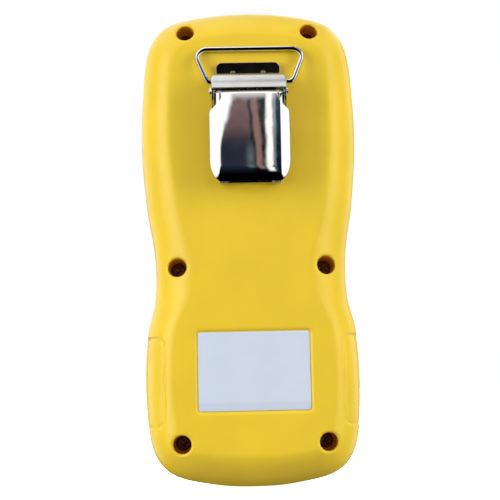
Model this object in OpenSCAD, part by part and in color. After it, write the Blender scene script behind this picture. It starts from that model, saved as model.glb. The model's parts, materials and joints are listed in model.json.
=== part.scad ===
// Portable four-gas detector with a spring clip and a wire bail on its back.
// Millimetres. +Z is up and the back, which carries the clip, faces -Y.
// Modules draw in the case frame: x = 0 is the middle, y = 0 the parting plane and z = 0 the
// lowest point. placed() moves that frame so that the origin lies where a belt lies in the clip.

/* [Case] */
// Height of the case
body_h = 128.5; // [127:0.5:130]
// Depth from the parting plane to the flat back panel
back_depth = 17; // [16.5:0.1:17.5]
// Depth from the parting plane to the flat front face
front_depth = 14; // [13.8:0.1:14.4]
// Wall thickness of both shells
wall = 2; // [1.8:0.1:2.2]
// Depth of the grip recesses in the flanks
grip_depth = 0.5; // [0.3:0.05:0.6]
// How far the flanks fall away from the back panel
flank_drop = 10; // [8:0.5:10.5]
// How far the back's side walls lean in between the parting plane and the flanks
draft = 0.55; // [0.4:0.05:0.7]
// How far the front edge is rounded over
front_round = 5.5; // [4.5:0.5:6]
// Thickness of the seal between the shells
seal_t = 0.8; // [0.6:0.1:1]

/* [Case screws] */
// Half the distance between the two top screws
screw_x_top = 16.5; // [16:0.1:17]
// Half the distance between the two waist screws
screw_x_mid = 19.4; // [19:0.1:19.8]
// Half the distance between the two bottom screws
screw_x_low = 18.8; // [18.4:0.1:19.2]
// Height of the two top screws
screw_z_top = 120.7; // [120.4:0.1:121]
// Height of the two waist screws
screw_z_mid = 57.8; // [57.4:0.1:58.2]
// Height of the two bottom screws
screw_z_low = 12.1; // [11.8:0.1:12.4]
// Radius of the access bore over each screw
bore_r = 2.4; // [2.3:0.05:2.5]
// Depth of the screw seat behind the parting plane
seat_depth = 5; // [4.5:0.5:6]

/* [Label] */
// Width of the rating label
label_w = 29; // [28:0.5:30]
// Height of the rating label
label_h = 20.4; // [19:0.2:21]
// Height of the label's centre above the bottom
label_z = 30.5; // [30:0.5:31]

/* [Clip] */
// Height of the lever's pivot above the bottom
pivot_z = 102.6; // [102.4:0.1:102.8]
// Stand-off of the lever's pivot from the back panel
pivot_out = 6; // [5.8:0.1:6.2]
// Half the width of the lever across its wings
lever_half = 10.4; // [10:0.1:10.8]
// Length of the lever below its pivot
lever_len = 23.6; // [23.2:0.2:24]
// Thickness of the clip's sheet steel
sheet = 0.7; // [0.6:0.05:0.8]
// Diameter of the bail's wire
wire_d = 1.3; // [1.1:0.1:1.4]
// Height of the bail above its pivots
bail_h = 9.9; // [9.8:0.1:10.2]
// Half the outside width of the bail
bail_half = 14.4; // [14.1:0.1:14.6]

/* [Front] */
// Half the distance between the two columns of sensors
sensor_x = 11.4; // [11.2:0.1:11.6]
// Height of the upper sensors
sensor_z_high = 107.2; // [106.8:0.1:107.4]
// Height of the lower sensors
sensor_z_low = 84.6; // [84.2:0.1:85]
// Height of the display's centre
display_z = 54; // [53:0.5:55]
// Height of the keys
key_z = 24; // [23:0.5:25]
// How far the keys stand out of the front face
key_out = 1; // [0.6:0.1:1.2]
// Height of the charging port's centre
port_z = 27; // [26:0.5:28]

/* [Hidden] */
$fn = 48;
eps = 0.01;
hinge_gap = 0.05; // radial running clearance of pins

back_y = -back_depth;
belt_z = 91; // height of a belt's middle in the clip
split = seal_t / 2;

SCREWS = [for (s = [-1, 1]) each [
    [s * screw_x_top, screw_z_top], [s * screw_x_mid, screw_z_mid], [s * screw_x_low, screw_z_low]]];
SENSORS = [for (s = [-1, 1]) each [[s * sensor_x, sensor_z_high], [s * sensor_x, sensor_z_low]]];
SENSOR_POSTS = [[-21.5, 95.9], [21.5, 95.9], [0, 114.5]];
DISPLAY_POSTS = [[0, 37], [-9.5, 10.5], [9.5, 10.5]];
CLIP_SCREWS = [88, 96.5];

// Right half of the case outline at the parting plane, bottom to top, as x and height, before it is
// brought to body_h
OUTLINE = [
    [0, 0], [10, 0.6], [20.7, 3], [26.1, 7.9], [28.3, 16], [28.9, 29], [28.1, 41], [26, 50.5],
    [26, 62], [28, 75], [29.3, 91], [28.9, 106], [27.6, 116.9], [24.2, 123.2], [18.9, 126.2], [9.8, 127.9],
    [0, 128.5]
];
// Right half of the edge of the flat back panel, point for point with OUTLINE
RIDGE = [
    [0, 9.2], [7.5, 9.4], [14.6, 10.4], [18.4, 13], [19.8, 18.5], [20.8, 30], [19.7, 42], [15.9, 51],
    [15.2, 60], [18.4, 71.5], [20.6, 88], [20.7, 103], [20, 112], [17.8, 116.4], [13.6, 118.4], [7, 119.3],
    [0, 119.6]
];

// ---------- functions ----------

function mixed(a, b, t) = a + (b - a) * t;
function mirrored(p) = [-p[0], p[1]];
function catmull(a, b, c, d, t) =
    0.5 * (2 * b + (c - a) * t + (2 * a - 5 * b + 4 * c - d) * t * t + (3 * b - a - 3 * c + d) * t * t * t);

// A smooth half outline through knots, with its ends on the centre line, steps points a stretch
function smooth_half(knots, steps) =
    let (n = len(knots) - 1)
    concat([for (i = [0:n - 1], k = [0:steps - 1])
        catmull(i == 0 ? mirrored(knots[1]) : knots[i - 1], knots[i], knots[i + 1],
                i == n - 1 ? mirrored(knots[n - 1]) : knots[i + 2], k / steps)], [knots[n]]);

// The half outline moved in by d along its own normals
function inset_half(half, d) =
    [for (i = [0:len(half) - 1])
        let (a = i == 0 ? mirrored(half[1]) : half[i - 1],
             b = i == len(half) - 1 ? mirrored(half[i - 1]) : half[i + 1],
             t = (b - a) / norm(b - a))
        half[i] + d * [-t[1], t[0]]];

// A closed ring at depth y from a right half
function ring(half, y) =
    let (n = len(half) - 1)
    concat([for (p = half) [p[0], y, p[1]]], [for (i = [n - 1:-1:1]) [-half[i][0], y, half[i][1]]]);

function mixed_half(a, b, t) = [for (i = [0:len(a) - 1]) mixed(a[i], b[i], t)];

// How far the surface has fallen, as a share of the whole drop, at share s of the way from ridge to outline
function fall(s, p, q) = 1 - pow(max(0, 1 - pow(s, p)), q);

function tall(knots) = [for (p = knots) [p[0], p[1] * body_h / OUTLINE[len(OUTLINE) - 1][1]]];

steps = 3; // points from one knot to the next
outer_half = smooth_half(tall(OUTLINE), steps);
ridge_half = smooth_half(tall(RIDGE), steps);
side_half = inset_half(outer_half, draft); // where the back's flanks end
inner_half = inset_half(outer_half, wall);
inner_side = inset_half(outer_half, wall + draft);
inner_ridge = inset_half(ridge_half, wall * 0.6);
front_half = inset_half(outer_half, front_round);
front_inner = inset_half(outer_half, front_round + wall * 0.3);

// Powers of fall() for the flanks of the back and for the edge of the front, and the shares of each ring
flank_p = 1.5;
flank_q = 0.6;
edge_p = 2.2;
edge_q = 0.5;
FLANK_S = [0.08, 0.2, 0.35, 0.5, 0.65, 0.78, 0.88, 0.95, 0.99, 1];
INNER_S = [0.25, 0.5, 0.75, 0.92, 1];
EDGE_S = [0.3, 0.55, 0.75, 0.9, 0.97, 1];

// ---------- shared shapes ----------

module placed() translate([0, sheet - back_y, -belt_z]) children();

// A solid through rings of n points each, every ring turning left as seen from the last one.
// Both ends are closed by strips across.
module loft(rings) {
    n = len(rings[0]);
    k = len(rings);
    walls = [for (j = [0:k - 2], i = [0:n - 1])
        let (a = j * n + i, b = j * n + (i + 1) % n) each [[a, b + n, b], [a, a + n, b + n]]];
    first = [for (i = [0:n / 2 - 2]) each [[i, i + 1, n - 2 - i], [i, n - 2 - i, n - 1 - i]]];
    last = [for (f = first) [for (i = [0, 2, 1]) f[i] + (k - 1) * n]];
    polyhedron([for (r = rings) each r], concat(walls, first, last));
}

// A cylinder along Y from y0 to y1
module rod_y(x, z, r, y0, y1) translate([x, y1, z]) rotate([90, 0, 0]) cylinder(r = r, h = y1 - y0);

// A cylinder along X from x0 to x1
module rod_x(y, z, r, x0, x1) translate([x0, y, z]) rotate([0, 90, 0]) cylinder(r = r, h = x1 - x0);

// A plate of size w by h with round corners, standing in the XZ plane from y0 to y1
module plate_y(w, h, r, z, y0, y1, x = 0)
    translate([x, y1, z]) rotate([90, 0, 0]) linear_extrude(y1 - y0) round_rect(w, h, r);

module round_rect(w, h, r) {
    square([w - 2 * r, h], center = true);
    square([w, h - 2 * r], center = true);
    for (x = [-1, 1], y = [-1, 1]) translate([x * (w / 2 - r), y * (h / 2 - r)]) circle(r);
}

// A flat polygon in the XZ plane from y0 to y1
module slab_y(points, y0, y1)
    translate([0, y1, 0]) rotate([90, 0, 0]) linear_extrude(y1 - y0) polygon(points);

function ring_points(half) = [for (p = ring(half, 0)) [p[0], p[2]]];

// A pan-head screw along Y, its head on the -Y side, with a cross recess
module screw_y(x, z, head_r, head_h, shank_r, seat_y, tip_y) difference() {
    union() {
        translate([x, seat_y, z]) rotate([90, 0, 0]) rotate_extrude() polygon([
            [0, 0], [head_r, 0], [head_r, head_h * 0.55], [head_r * 0.82, head_h * 0.88],
            [head_r * 0.55, head_h], [0, head_h]]);
        rod_y(x, z, shank_r, seat_y - eps, tip_y);
    }
    for (a = [0, 90]) translate([x, seat_y - head_h, z]) rotate([0, a, 0])
        cube([head_r * 1.1, head_h, head_r * 0.28], center = true);
}

// ---------- case ----------

module back_outer() loft([
    ring(outer_half, -split), each [for (i = [len(FLANK_S) - 1:-1:0]) let (s = FLANK_S[i])
        ring(mixed_half(ridge_half, side_half, s), back_y + flank_drop * fall(s, flank_p, flank_q))],
    ring(ridge_half, back_y)]);

module back_cavity() loft([
    ring(inner_half, 1), each [for (i = [len(INNER_S) - 1:-1:0]) let (s = INNER_S[i])
        ring(mixed_half(inner_ridge, inner_side, s),
             back_y + wall + (flank_drop - 0.8) * fall(s, flank_p, flank_q))],
    ring(inner_ridge, back_y + wall)]);

// The back's outside, moved in by the depth of the grips
module grip_floor() loft([
    ring(inset_half(outer_half, grip_depth), 1),
    each [for (i = [len(FLANK_S) - 1:-2:0]) let (s = FLANK_S[i])
        ring(inset_half(mixed_half(ridge_half, side_half, s), grip_depth * s),
             back_y + grip_depth * (1 - s) + flank_drop * fall(s, flank_p, flank_q))]]);

grip_z = 28;
grip_h = 23.2;
grip_x = 23.4; // inner edge of each grip

// Shallow recesses in both flanks for the fingers
module grips() difference() {
    for (s = [-1, 1]) plate_y(16, grip_h, 2, grip_z, back_y - 1, -2.4, s * (grip_x + 8));
    grip_floor();
}

boss_r = 3.4; // around the case screws in the front, and the clip screws in the back
post_r = 2.4; // posts for the boards
pilot_r = 0.9;
insert_r = 2.1;
clip_insert_r = 2;

module back_shell() color("gold") placed() difference() {
    back_outer();
    grips();
    difference() {
        back_cavity();
        for (p = SCREWS) rod_y(p[0], p[1], bore_r + 1.5, back_y, 2);
        for (p = SENSOR_POSTS) rod_y(p[0], p[1], post_r, back_y, -6);
        for (z = CLIP_SCREWS) rod_y(0, z, boss_r, back_y, back_y + 7);
    }
    for (p = SCREWS) {
        rod_y(p[0], p[1], bore_r, back_y - 1, -seat_depth);
        rod_y(p[0], p[1], 1.5, -seat_depth - 1, 1);
    }
    for (p = SENSOR_POSTS) rod_y(p[0], p[1], pilot_r, -12, -5);
    for (z = CLIP_SCREWS) rod_y(0, z, clip_insert_r, back_y - 1, back_y + 5.5);
    plate_y(label_w + 0.8, label_h + 0.8, 1, label_z, back_y - 1, back_y + 0.5);
}

module front_outer() loft([
    ring(front_half, front_depth), each [for (s = EDGE_S)
        ring(mixed_half(front_half, outer_half, s), front_depth - front_round * fall(s, edge_p, edge_q))],
    ring(outer_half, split)]);

module front_cavity() loft([
    ring(front_inner, front_depth - wall), each [for (s = [0.5, 0.85, 1])
        ring(mixed_half(front_inner, inner_half, s),
             front_depth - wall - (front_round - 0.6) * fall(s, edge_p, edge_q))],
    ring(inner_half, -1)]);

cover_w = 43;
cover_z = (sensor_z_high + sensor_z_low) / 2;
cover_h = 46.4;
cover_screw_x = 19;
inlet_r = 8.8; // holes in the front over the sensors
window_w = 38;
window_h = 28;
lens_w = 24;
lens_h = 3.4;
lens_z = 123.2;

module alarm_window(grow) translate([0, front_depth - 3, lens_z])
    cube([lens_w + grow, 7, lens_h + grow], center = true);

module front_shell() color("gold") placed() difference() {
    front_outer();
    difference() {
        front_cavity();
        for (p = SCREWS) rod_y(p[0], p[1], boss_r, -2, front_depth);
        for (p = DISPLAY_POSTS) rod_y(p[0], p[1], post_r, board_y + board_t + 0.1, front_depth);
    }
    for (p = SCREWS) rod_y(p[0], p[1], insert_r, -1, 6.5);
    for (p = DISPLAY_POSTS) rod_y(p[0], p[1], pilot_r, 2, 9);
    plate_y(cover_w + 0.3, cover_h + 0.3, 8, cover_z, front_depth - 1.2, front_depth + 1);
    for (p = SENSORS) rod_y(p[0], p[1], inlet_r, front_depth - wall - 1, front_depth);
    rod_y(0, cover_z, 3.6, front_depth - wall - 1, front_depth);
    for (s = [-1, 1]) rod_y(s * cover_screw_x, cover_z, pilot_r, front_depth - wall - 1, front_depth);
    plate_y(window_w + 0.3, window_h + 0.3, 2.5, display_z, front_depth - 1.1, front_depth + 1);
    plate_y(31.5, 22.5, 1.5, display_z, front_depth - wall - 1, front_depth);
    for (k = KEYS) rod_y(k[0], key_z, k[1] + 0.25, front_depth - wall - 1, front_depth + 1);
    alarm_window(0.2);
    port_pocket();
}

module case_seal() color([0.12, 0.12, 0.13]) placed() difference() {
    slab_y(ring_points(inset_half(outer_half, 0.3)), -split, split);
    slab_y(ring_points(inset_half(outer_half, wall - 0.2)), -1, 1);
}

module case_screws() color("silver") placed()
    for (p = SCREWS) screw_y(p[0], p[1], 2.1, 1.7, 1.2, -seat_depth, 5);

module case_inserts() color("goldenrod") placed()
    for (p = SCREWS) difference() {
        rod_y(p[0], p[1], insert_r, split + 0.2, 6);
        rod_y(p[0], p[1], 1.2, 0, 7);
    }

module rating_label() color([0.8, 0.84, 0.89]) placed()
    plate_y(label_w, label_h, 0.7, label_z, back_y + 0.25, back_y + 0.5);

// ---------- clip on the back ----------

pivot_y = back_y - pivot_out;
tab_half = 8.5;
tab_top = 111.6;
tab_lean = 0.35;
ear_x = 9; // inner face of each ear
ear_t = sheet;
pin_r = 0.45;
face_out = 1.9; // from the pivot out to the top of the lever's face
frame_foot = 108.4; // where the frame meets the base plate
lip_below = 0.4; // how far the lever's lip reaches below the base plate
base_bottom = pivot_z - lever_len + lip_below;
bail_z = pivot_z + 3.1;
bail_side = 0.45; // the loose wire lies this far to one side in its holes
bail_out = 3.2;

// The base plate in side view, as y and z: its tab leans out a little above the bridge
BASE_SIDE = [
    [back_y, base_bottom - 1], [back_y, frame_foot + 0.2], [back_y - tab_lean, tab_top + 1],
    [back_y - tab_lean - sheet, tab_top + 1], [back_y - sheet, frame_foot + 0.2],
    [back_y - sheet, base_bottom - 1]
];
base_h = tab_top - base_bottom;

module clip_base() color("silver") placed() difference() {
    union() {
        intersection() {
            translate([-tab_half - 1, 0, 0]) rotate([90, 0, 90]) linear_extrude(2 * tab_half + 2)
                polygon(BASE_SIDE);
            plate_y(2 * tab_half, base_h, 1.6, base_bottom + base_h / 2, back_y - 3, back_y + 1);
        }
        // toothed lip
        for (s = [-1, 1], k = [0:2])
            translate([s * (6.2 + k * 0.8), back_y - sheet - 0.5, base_bottom + 0.6])
                cube([0.45, 1.2, 1.8], center = true);
    }
    for (s = [-1, 1]) translate([s * 4, back_y, frame_foot + 0.3]) cube([0.9, 3, 1], center = true);
    for (z = CLIP_SCREWS) sunk_head(z, clip_head_r + 0.1, 1.4, 0.01);
}

// Side view of the bridge, as y and z: it arches out from the base plate and ends just above the lever
FRAME_TOP = [
    [back_y - sheet, frame_foot], [back_y - 3.3, 108.1], [pivot_y + 0.2, 107], [pivot_y - 1.2, 105.3],
    [pivot_y - 1.9, pivot_z + 0.5], [pivot_y - 1.35, pivot_z + 0.07], [pivot_y - 0.55, 105.05],
    [pivot_y + 0.65, 106.4], [back_y - 3.1, 107.4], [back_y - sheet, 107.7]
];
ear_half = ear_x + ear_t;

module clip_frame() color("silver") placed() {
    intersection() {
        translate([-ear_half, 0, 0]) rotate([90, 0, 90]) linear_extrude(2 * ear_half) polygon(FRAME_TOP);
        slab_y([[-ear_half, 100], [ear_half, 100], [ear_half, 106.6], [8.1, 108.2], [8.1, 109],
                [-8.1, 109], [-8.1, 108.2], [-ear_half, 106.6]], back_y - 12, back_y);
    }
    for (s = [-1, 1]) difference() {
        union() {
            translate([s * (ear_x + ear_t / 2), 0, 0]) rotate([90, 0, 90])
                linear_extrude(ear_t, center = true) ear_outline();
            // foot that lies on the base plate's edge
            translate([s * (ear_x - 0.55), back_y - sheet * 1.5, 101.2])
                cube([1.1 + eps, sheet, 8.4], center = true);
        }
        rod_x(pivot_y, pivot_z, pin_r, -15, 15);
        rod_x(back_y - bail_out, bail_z, wire_d / 2 + hinge_gap, -15, 15);
    }
}

module ear_outline() {
    polygon([
        [back_y, 97], [back_y - 3.4, 97.6], [pivot_y - 0.9, pivot_z - 1.6], [pivot_y - 1.3, pivot_z + 0.7],
        [pivot_y - 0.9, 105], [pivot_y + 0.3, 106.4], [back_y - 3.3, 107], [back_y - 1.2, 107.1],
        [back_y - sheet, 106.9], [back_y, 106.9]
    ]);
    translate([pivot_y, pivot_z]) circle(1.45);
}

clip_head_r = 2.3;

// The cone under a countersunk head that is flush with the base plate
module sunk_head(z, head_r, hole_r, over) translate([0, back_y, z]) rotate([90, 0, 0]) rotate_extrude()
    polygon([
        [0, -over], [hole_r, -over], [hole_r, 0.05], [head_r, sheet - 0.05], [head_r, sheet + over],
        [0, sheet + over]]);

module clip_screws() color("silver") placed() for (z = CLIP_SCREWS) difference() {
    union() {
        sunk_head(z, clip_head_r, 1.25, 0);
        rod_y(0, z, 1.25, back_y - eps, back_y + 4.8);
    }
    for (a = [0, 90]) translate([0, back_y - sheet, z]) rotate([0, a, 0])
        cube([2.4, 0.8, 0.6], center = true);
}

module clip_inserts() color("goldenrod") placed()
    for (z = CLIP_SCREWS) difference() {
        rod_y(0, z, clip_insert_r, back_y + 0.3, back_y + 5.3);
        rod_y(0, z, 1.25, back_y, back_y + 6);
    }

curl_t = 0.82; // where the lower lip starts to curl in
curl_angle = 55;
curl_r = (1 - curl_t) * lever_len / sin(curl_angle);
// The lever's outside, as stand-off from the back panel at share t of the way down
function lever_out(t) = pivot_out + face_out + (
    t < curl_t ? 0.7 * sin(180 * t / curl_t)
               : let (u = (t - curl_t) / (1 - curl_t)) -curl_r * (1 - sqrt(1 - pow(u * sin(curl_angle), 2))));
neck_half = 8.5;
fold_x = 8.2; // fold line of the wings
function lever_edge(t) =
    t < 0.15 ? neck_half : t < 0.23 ? mixed(neck_half, lever_half, (t - 0.15) / 0.08)
    : t < 0.76 ? lever_half : lever_half - 3.6 * (1 - sqrt(max(0, 1 - pow((t - 0.76) / 0.25, 2))));
// How far the wing at x is bent back towards the case
function wing_back(x, t) = min(1, t * 8) * (
    abs(x) < fold_x ? 0.011 * x * x : 0.011 * fold_x * fold_x + 0.75 * (abs(x) - fold_x));
// Across the lever: u from -1 to 1, with the fold at 0.8
function lever_x(t, u) =
    let (edge = lever_edge(t), fold = min(fold_x, edge - 0.25), a = abs(u),
         x = a < 0.8 ? a / 0.8 * fold : mixed(fold, edge, (a - 0.8) * 5))
    u < 0 ? -x : x;
function lever_face(t, u) =
    let (x = lever_x(t, u)) [x, back_y - lever_out(t) + wing_back(x, t), pivot_z - t * lever_len];
function lever_normal(t, u) =
    let (d = 0.004, down = lever_face(t + d, u) - lever_face(t - d, u),
         side = lever_face(t, u + d) - lever_face(t, u - d), n = cross(down, side))
    n / norm(n);

LEVER_T = [
    0.03, 0.07, 0.15, 0.23, 0.32, 0.42, 0.52, 0.62, 0.7, 0.76, 0.82, 0.86, 0.9, 0.93, 0.96, 0.98, 0.996];
LEVER_U = [-0.99, -0.9, -0.8, -0.6, -0.4, -0.2, 0, 0.2, 0.4, 0.6, 0.8, 0.9, 0.99];

module lever_sheet() {
    n = len(LEVER_U);
    k = len(LEVER_T);
    loft([for (j = [k - 1:-1:0]) let (t = LEVER_T[j])
        concat([for (u = LEVER_U) lever_face(t, u)],
               [for (i = [n - 1:-1:0]) lever_face(t, LEVER_U[i]) - sheet * lever_normal(t, LEVER_U[i])])]);
}

knuckle_r = 0.8;
knuckle_x = 7.5;
module clip_lever() color("silver") placed() {
    lever_sheet();
    // knuckles that turn on the pin
    for (s = [-1, 1]) difference() {
        union() {
            rod_x(pivot_y, pivot_z, knuckle_r, s * knuckle_x - 0.35, s * knuckle_x + 0.35);
            translate([s * knuckle_x - 0.35, pivot_y - face_out + 0.35, pivot_z - 4]) cube([0.7, 2.2, 3.32]);
        }
        rod_x(pivot_y, pivot_z, pin_r + hinge_gap, -15, 15);
    }
}

module clip_pin() color("gainsboro") placed() {
    rod_x(pivot_y, pivot_z, pin_r, -ear_half - 0.1, ear_half + 0.1);
    for (s = [-1, 1]) translate([s * (ear_half + 0.05), pivot_y, pivot_z]) rotate([0, s * 90, 0])
        rotate_extrude() polygon([[0, 0], [1.15, 0], [1.05, 0.35], [0.7, 0.55], [0, 0.6]]);
}

// Rings around a round wire that runs through the points of path
function tube_rings(path, r, sides) = [for (i = [0:len(path) - 1])
    let (a = path[max(0, i - 1)], b = path[min(len(path) - 1, i + 1)], t = (b - a) / norm(b - a),
         u0 = cross(t, [0.31, 0.42, 0.85]), u = u0 / norm(u0), v = cross(t, u))
    [for (k = [0:sides - 1]) path[i] + r * (cos(360 * k / sides) * u + sin(360 * k / sides) * v)]];

module tube(path, r, sides = 8) loft(tube_rings(path, r, sides));

spring_r = 0.75;
spring_wire = 0.26;
spring_turns = 5;
SPRING_LEG = [[-3.2, pivot_out - sheet - 0.2, -6], [-3.2, 2.4, -3.6], [-3.1, 0.92, -1.3]];
module clip_spring() color("dimgray") placed() translate([0, pivot_y, pivot_z])
    tube(concat(
        SPRING_LEG,
        [for (a = [0:30:360 * spring_turns])
            [-3 + 6 * a / (360 * spring_turns), spring_r * cos(a), spring_r * sin(a)]],
        [[3.1, 0.72, -0.9], [3.2, 0.2, -1.7], [3.2, -0.6, -3.2], [3.2, -0.85, -5.5]]), spring_wire / 2, 6);

// ---------- the bail: a wire bent in one plane, from pin to pin ----------

bail_lean = asin((bail_out - wire_d / 2 - 0.12) / bail_h);
bail_r = 2.6; // corner radius
bail_top = bail_half - wire_d / 2; // half the width of the centre line at the crossbar

// Right half of the wire's centre line in its own plane, from the middle of the crossbar to the hook
BAIL_HALF = concat(
    [[0, bail_h], [4, bail_h], [8, bail_h]],
    [for (a = [90:-22.5:0]) [bail_top - bail_r + bail_r * cos(a), bail_h - bail_r + bail_r * sin(a)]],
    [[bail_top - 0.2, bail_h - 3.6], [bail_top - 1.1, bail_h - 6], [11.9, 2], [11.5, 1.05],
     [10.95, 0.3], [10.2, 0]]);

module clip_bail() color("gainsboro") placed()
    translate([bail_side, back_y - bail_out, bail_z]) rotate([-bail_lean, 0, 0]) {
        n = len(BAIL_HALF) - 1;
        tube([for (i = [-n:n]) let (p = BAIL_HALF[abs(i)]) [i < 0 ? -p[0] : p[0], 0, p[1]]], wire_d / 2, 10);
        for (s = [-1, 1]) rod_x(0, 0, wire_d / 2, s * 9.35 - 0.95, s * 9.35 + 0.95);
    }

// ---------- sensors and their cover ----------

port_r = 7.4;
module sensor_cover() color([0.16, 0.17, 0.18]) placed() difference() {
    plate_y(cover_w, cover_h, 7.9, cover_z, front_depth - 1.2 + 0.35, front_depth + 0.4);
    for (p = SENSORS) difference() {
        rod_y(p[0], p[1], port_r, front_depth - 2, front_depth + 1);
        for (k = [-2:2]) translate([p[0] + k * 2.8, front_depth - 0.2, p[1]])
            cube([0.9, 1, 16], center = true);
        translate([p[0], front_depth - 0.2, p[1]]) cube([16, 1, 0.9], center = true);
    }
    for (k = [-1:1]) translate([0, front_depth, cover_z + k * 1.8]) cube([4.4, 4, 0.8], center = true);
    for (s = [-1, 1]) {
        rod_y(s * cover_screw_x, cover_z, 1.1, front_depth - 2, front_depth + 1);
        rod_y(s * cover_screw_x, cover_z, 1.9, front_depth - 0.2, front_depth + 1);
    }
}

module cover_screws() color("silver") placed()
    for (s = [-1, 1]) mirror([0, 1, 0])
        screw_y(s * cover_screw_x, cover_z, 1.7, 0.7, 0.85, -front_depth + 0.2, -front_depth + 2.9);

module dust_filters() color("white") placed()
    for (p = SENSORS) rod_y(p[0], p[1], 9.6, front_depth - 1.2, front_depth - 0.9);

sensor_foot = -4.4; // face of the sensor board
sensor_top = front_depth - wall - 0.3;
sensor_r = 10.1;
pin_circle = 6.6;

// One four-series gas sensor: can, shoulder and gas inlet on the front, three pins behind
module sensor_can(p) {
    difference() {
        translate([p[0], sensor_foot + 0.1, p[1]]) rotate([-90, 0, 0]) rotate_extrude() polygon([
            [0, 0], [sensor_r - 0.4, 0], [sensor_r, 0.4], [sensor_r, sensor_top - sensor_foot - 1.4],
            [sensor_r - 0.8, sensor_top - sensor_foot - 0.1], [0, sensor_top - sensor_foot - 0.1]]);
        rod_y(p[0], p[1], 1.6, sensor_top - 1, sensor_top + 1);
    }
    for (a = [90, 210, 330])
        rod_y(p[0] + pin_circle * cos(a), p[1] + pin_circle * sin(a), 0.75, -7.6, sensor_foot + 0.2);
}

module sensor_o2() color("steelblue") placed() sensor_can(SENSORS[0]);
module sensor_co() color("firebrick") placed() sensor_can(SENSORS[2]);
module sensor_h2s() color("seagreen") placed() sensor_can(SENSORS[1]);
module sensor_lel() color("dimgray") placed() sensor_can(SENSORS[3]);

module sensor_board() color("darkgreen") placed() difference() {
    intersection() {
        slab_y(ring_points(inset_half(outer_half, wall + 1.6)), -6, sensor_foot);
        translate([-30, -10, 74]) cube([60, 10, 50]);
    }
    for (p = SCREWS) rod_y(p[0], p[1], bore_r + 2, -8, 0);
    for (p = SENSORS, a = [90, 210, 330])
        rod_y(p[0] + pin_circle * cos(a), p[1] + pin_circle * sin(a), 0.85, -8, 0);
    for (p = SENSOR_POSTS) rod_y(p[0], p[1], 1.2, -8, 0);
}

module sensor_board_screws() color("silver") placed()
    for (p = SENSOR_POSTS) mirror([0, 1, 0]) screw_y(p[0], p[1], 1.8, 1.1, 0.9, -sensor_foot, 10.5);

module buzzer() color([0.1, 0.1, 0.1]) placed() difference() {
    rod_y(0, cover_z, 4.9, sensor_foot, 5);
    rod_y(0, cover_z, 1.1, 2, 6);
}

module alarm_lens() color([0.8, 0.1, 0.08]) placed() intersection() {
    front_outer();
    difference() {
        alarm_window(0);
        translate([0, front_depth - 5, lens_z - 1]) cube([lens_w - 3, 7, 3.2], center = true);
    }
}

module alarm_leds() color("white") placed()
    for (x = [-7, 7]) {
        rod_y(x, 121, 1.4, sensor_foot, 6.2);
        translate([x, 6.2, 121]) sphere(r = 1.4);
    }

// ---------- display, keys and their board ----------

KEYS = [[0, 6], [-14.5, 4.6], [14.5, 4.6]];
board_y = 2;
board_t = 1.6;

module display_window() color([0.35, 0.4, 0.4, 0.5]) placed()
    plate_y(window_w, window_h, 2.35, display_z, front_depth - 1.1, front_depth - 0.1);

module lcd_glass() color([0.6, 0.66, 0.56]) placed() {
    plate_y(30.2, 25, 0.4, display_z, 9.4, 11.2);
    plate_y(28, 20.5, 0.4, display_z + 1.2, 11.2, 11.7);
}

module lcd_holder() color("white") placed() difference() {
    plate_y(30.6, 26, 0.8, display_z, board_y + board_t, 9.4);
    translate([0, 6.4, display_z]) cube([25, 3.6, 20], center = true);
}

module display_board() color("darkgreen") placed() difference() {
    intersection() {
        slab_y(ring_points(inset_half(outer_half, wall + 1.6)), board_y, board_y + board_t);
        translate([-30, 0, 6]) cube([60, 10, 65]);
    }
    for (p = SCREWS) rod_y(p[0], p[1], 3.9, 0, 8);
    for (p = DISPLAY_POSTS) rod_y(p[0], p[1], 1.2, 0, 8);
}

module display_board_screws() color("silver") placed()
    for (p = DISPLAY_POSTS) screw_y(p[0], p[1], 1.8, 1.1, 0.9, board_y, 8.4);

module key_switches() color([0.2, 0.2, 0.2]) placed()
    for (k = KEYS) {
        plate_y(6, 6, 0.3, key_z, board_y + board_t, board_y + board_t + 3.4, k[0]);
        rod_y(k[0], key_z, 1.6, board_y + board_t + 3.3, board_y + board_t + 4.4);
    }

key_top = front_depth + key_out;
key_back = front_depth - wall - 0.1;
// A key cap: a domed top that stands out of the face, a flange behind the wall and a stem
module key_cap(k) translate([k[0], 0, key_z]) rotate([-90, 0, 0]) rotate_extrude() polygon([
    [0, 8.8], [1.5, 8.8], [1.5, key_back - 1.2], [k[1] + 1, key_back - 1.2], [k[1] + 1, key_back],
    [k[1], key_back], [k[1], key_top - 0.8], [k[1] - 0.25, key_top - 0.3], [k[1] - 0.9, key_top],
    [0, key_top]]);

module key_power() color([0.15, 0.15, 0.16]) placed() key_cap(KEYS[0]);
module key_left() color([0.15, 0.15, 0.16]) placed() key_cap(KEYS[1]);
module key_right() color([0.15, 0.15, 0.16]) placed() key_cap(KEYS[2]);

// ---------- charging port on the right side ----------

port_y = 5.2;
flap_half = 7;
flap_h = 6;
flap_out = 28.7; // outer face of the flap
flap_t = 1.2;
flap_axis = [flap_out - flap_t / 2, port_z + flap_half - flap_t / 2];
trunnion_r = 0.4;

module usb_slot(r, half, x0, x1) translate([x0, port_y, port_z]) rotate([90, 0, 90]) linear_extrude(x1 - x0)
    union() {
        square([2 * r, 2 * (half - r)], center = true);
        for (s = [-1, 1]) translate([0, s * (half - r)]) circle(r);
    }

module port_pocket() {
    translate([flap_out - flap_t - 0.2, port_y - flap_h / 2 - 0.25, port_z - flap_half - 0.3])
        cube([3, flap_h + 0.5, 2 * flap_half + 0.6]);
    usb_slot(2, 5, 20, 30);
    rod_y(flap_axis[0], flap_axis[1], trunnion_r + hinge_gap, port_y - flap_h / 2 - 0.95,
          port_y + flap_h / 2 + 0.95);
}

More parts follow.
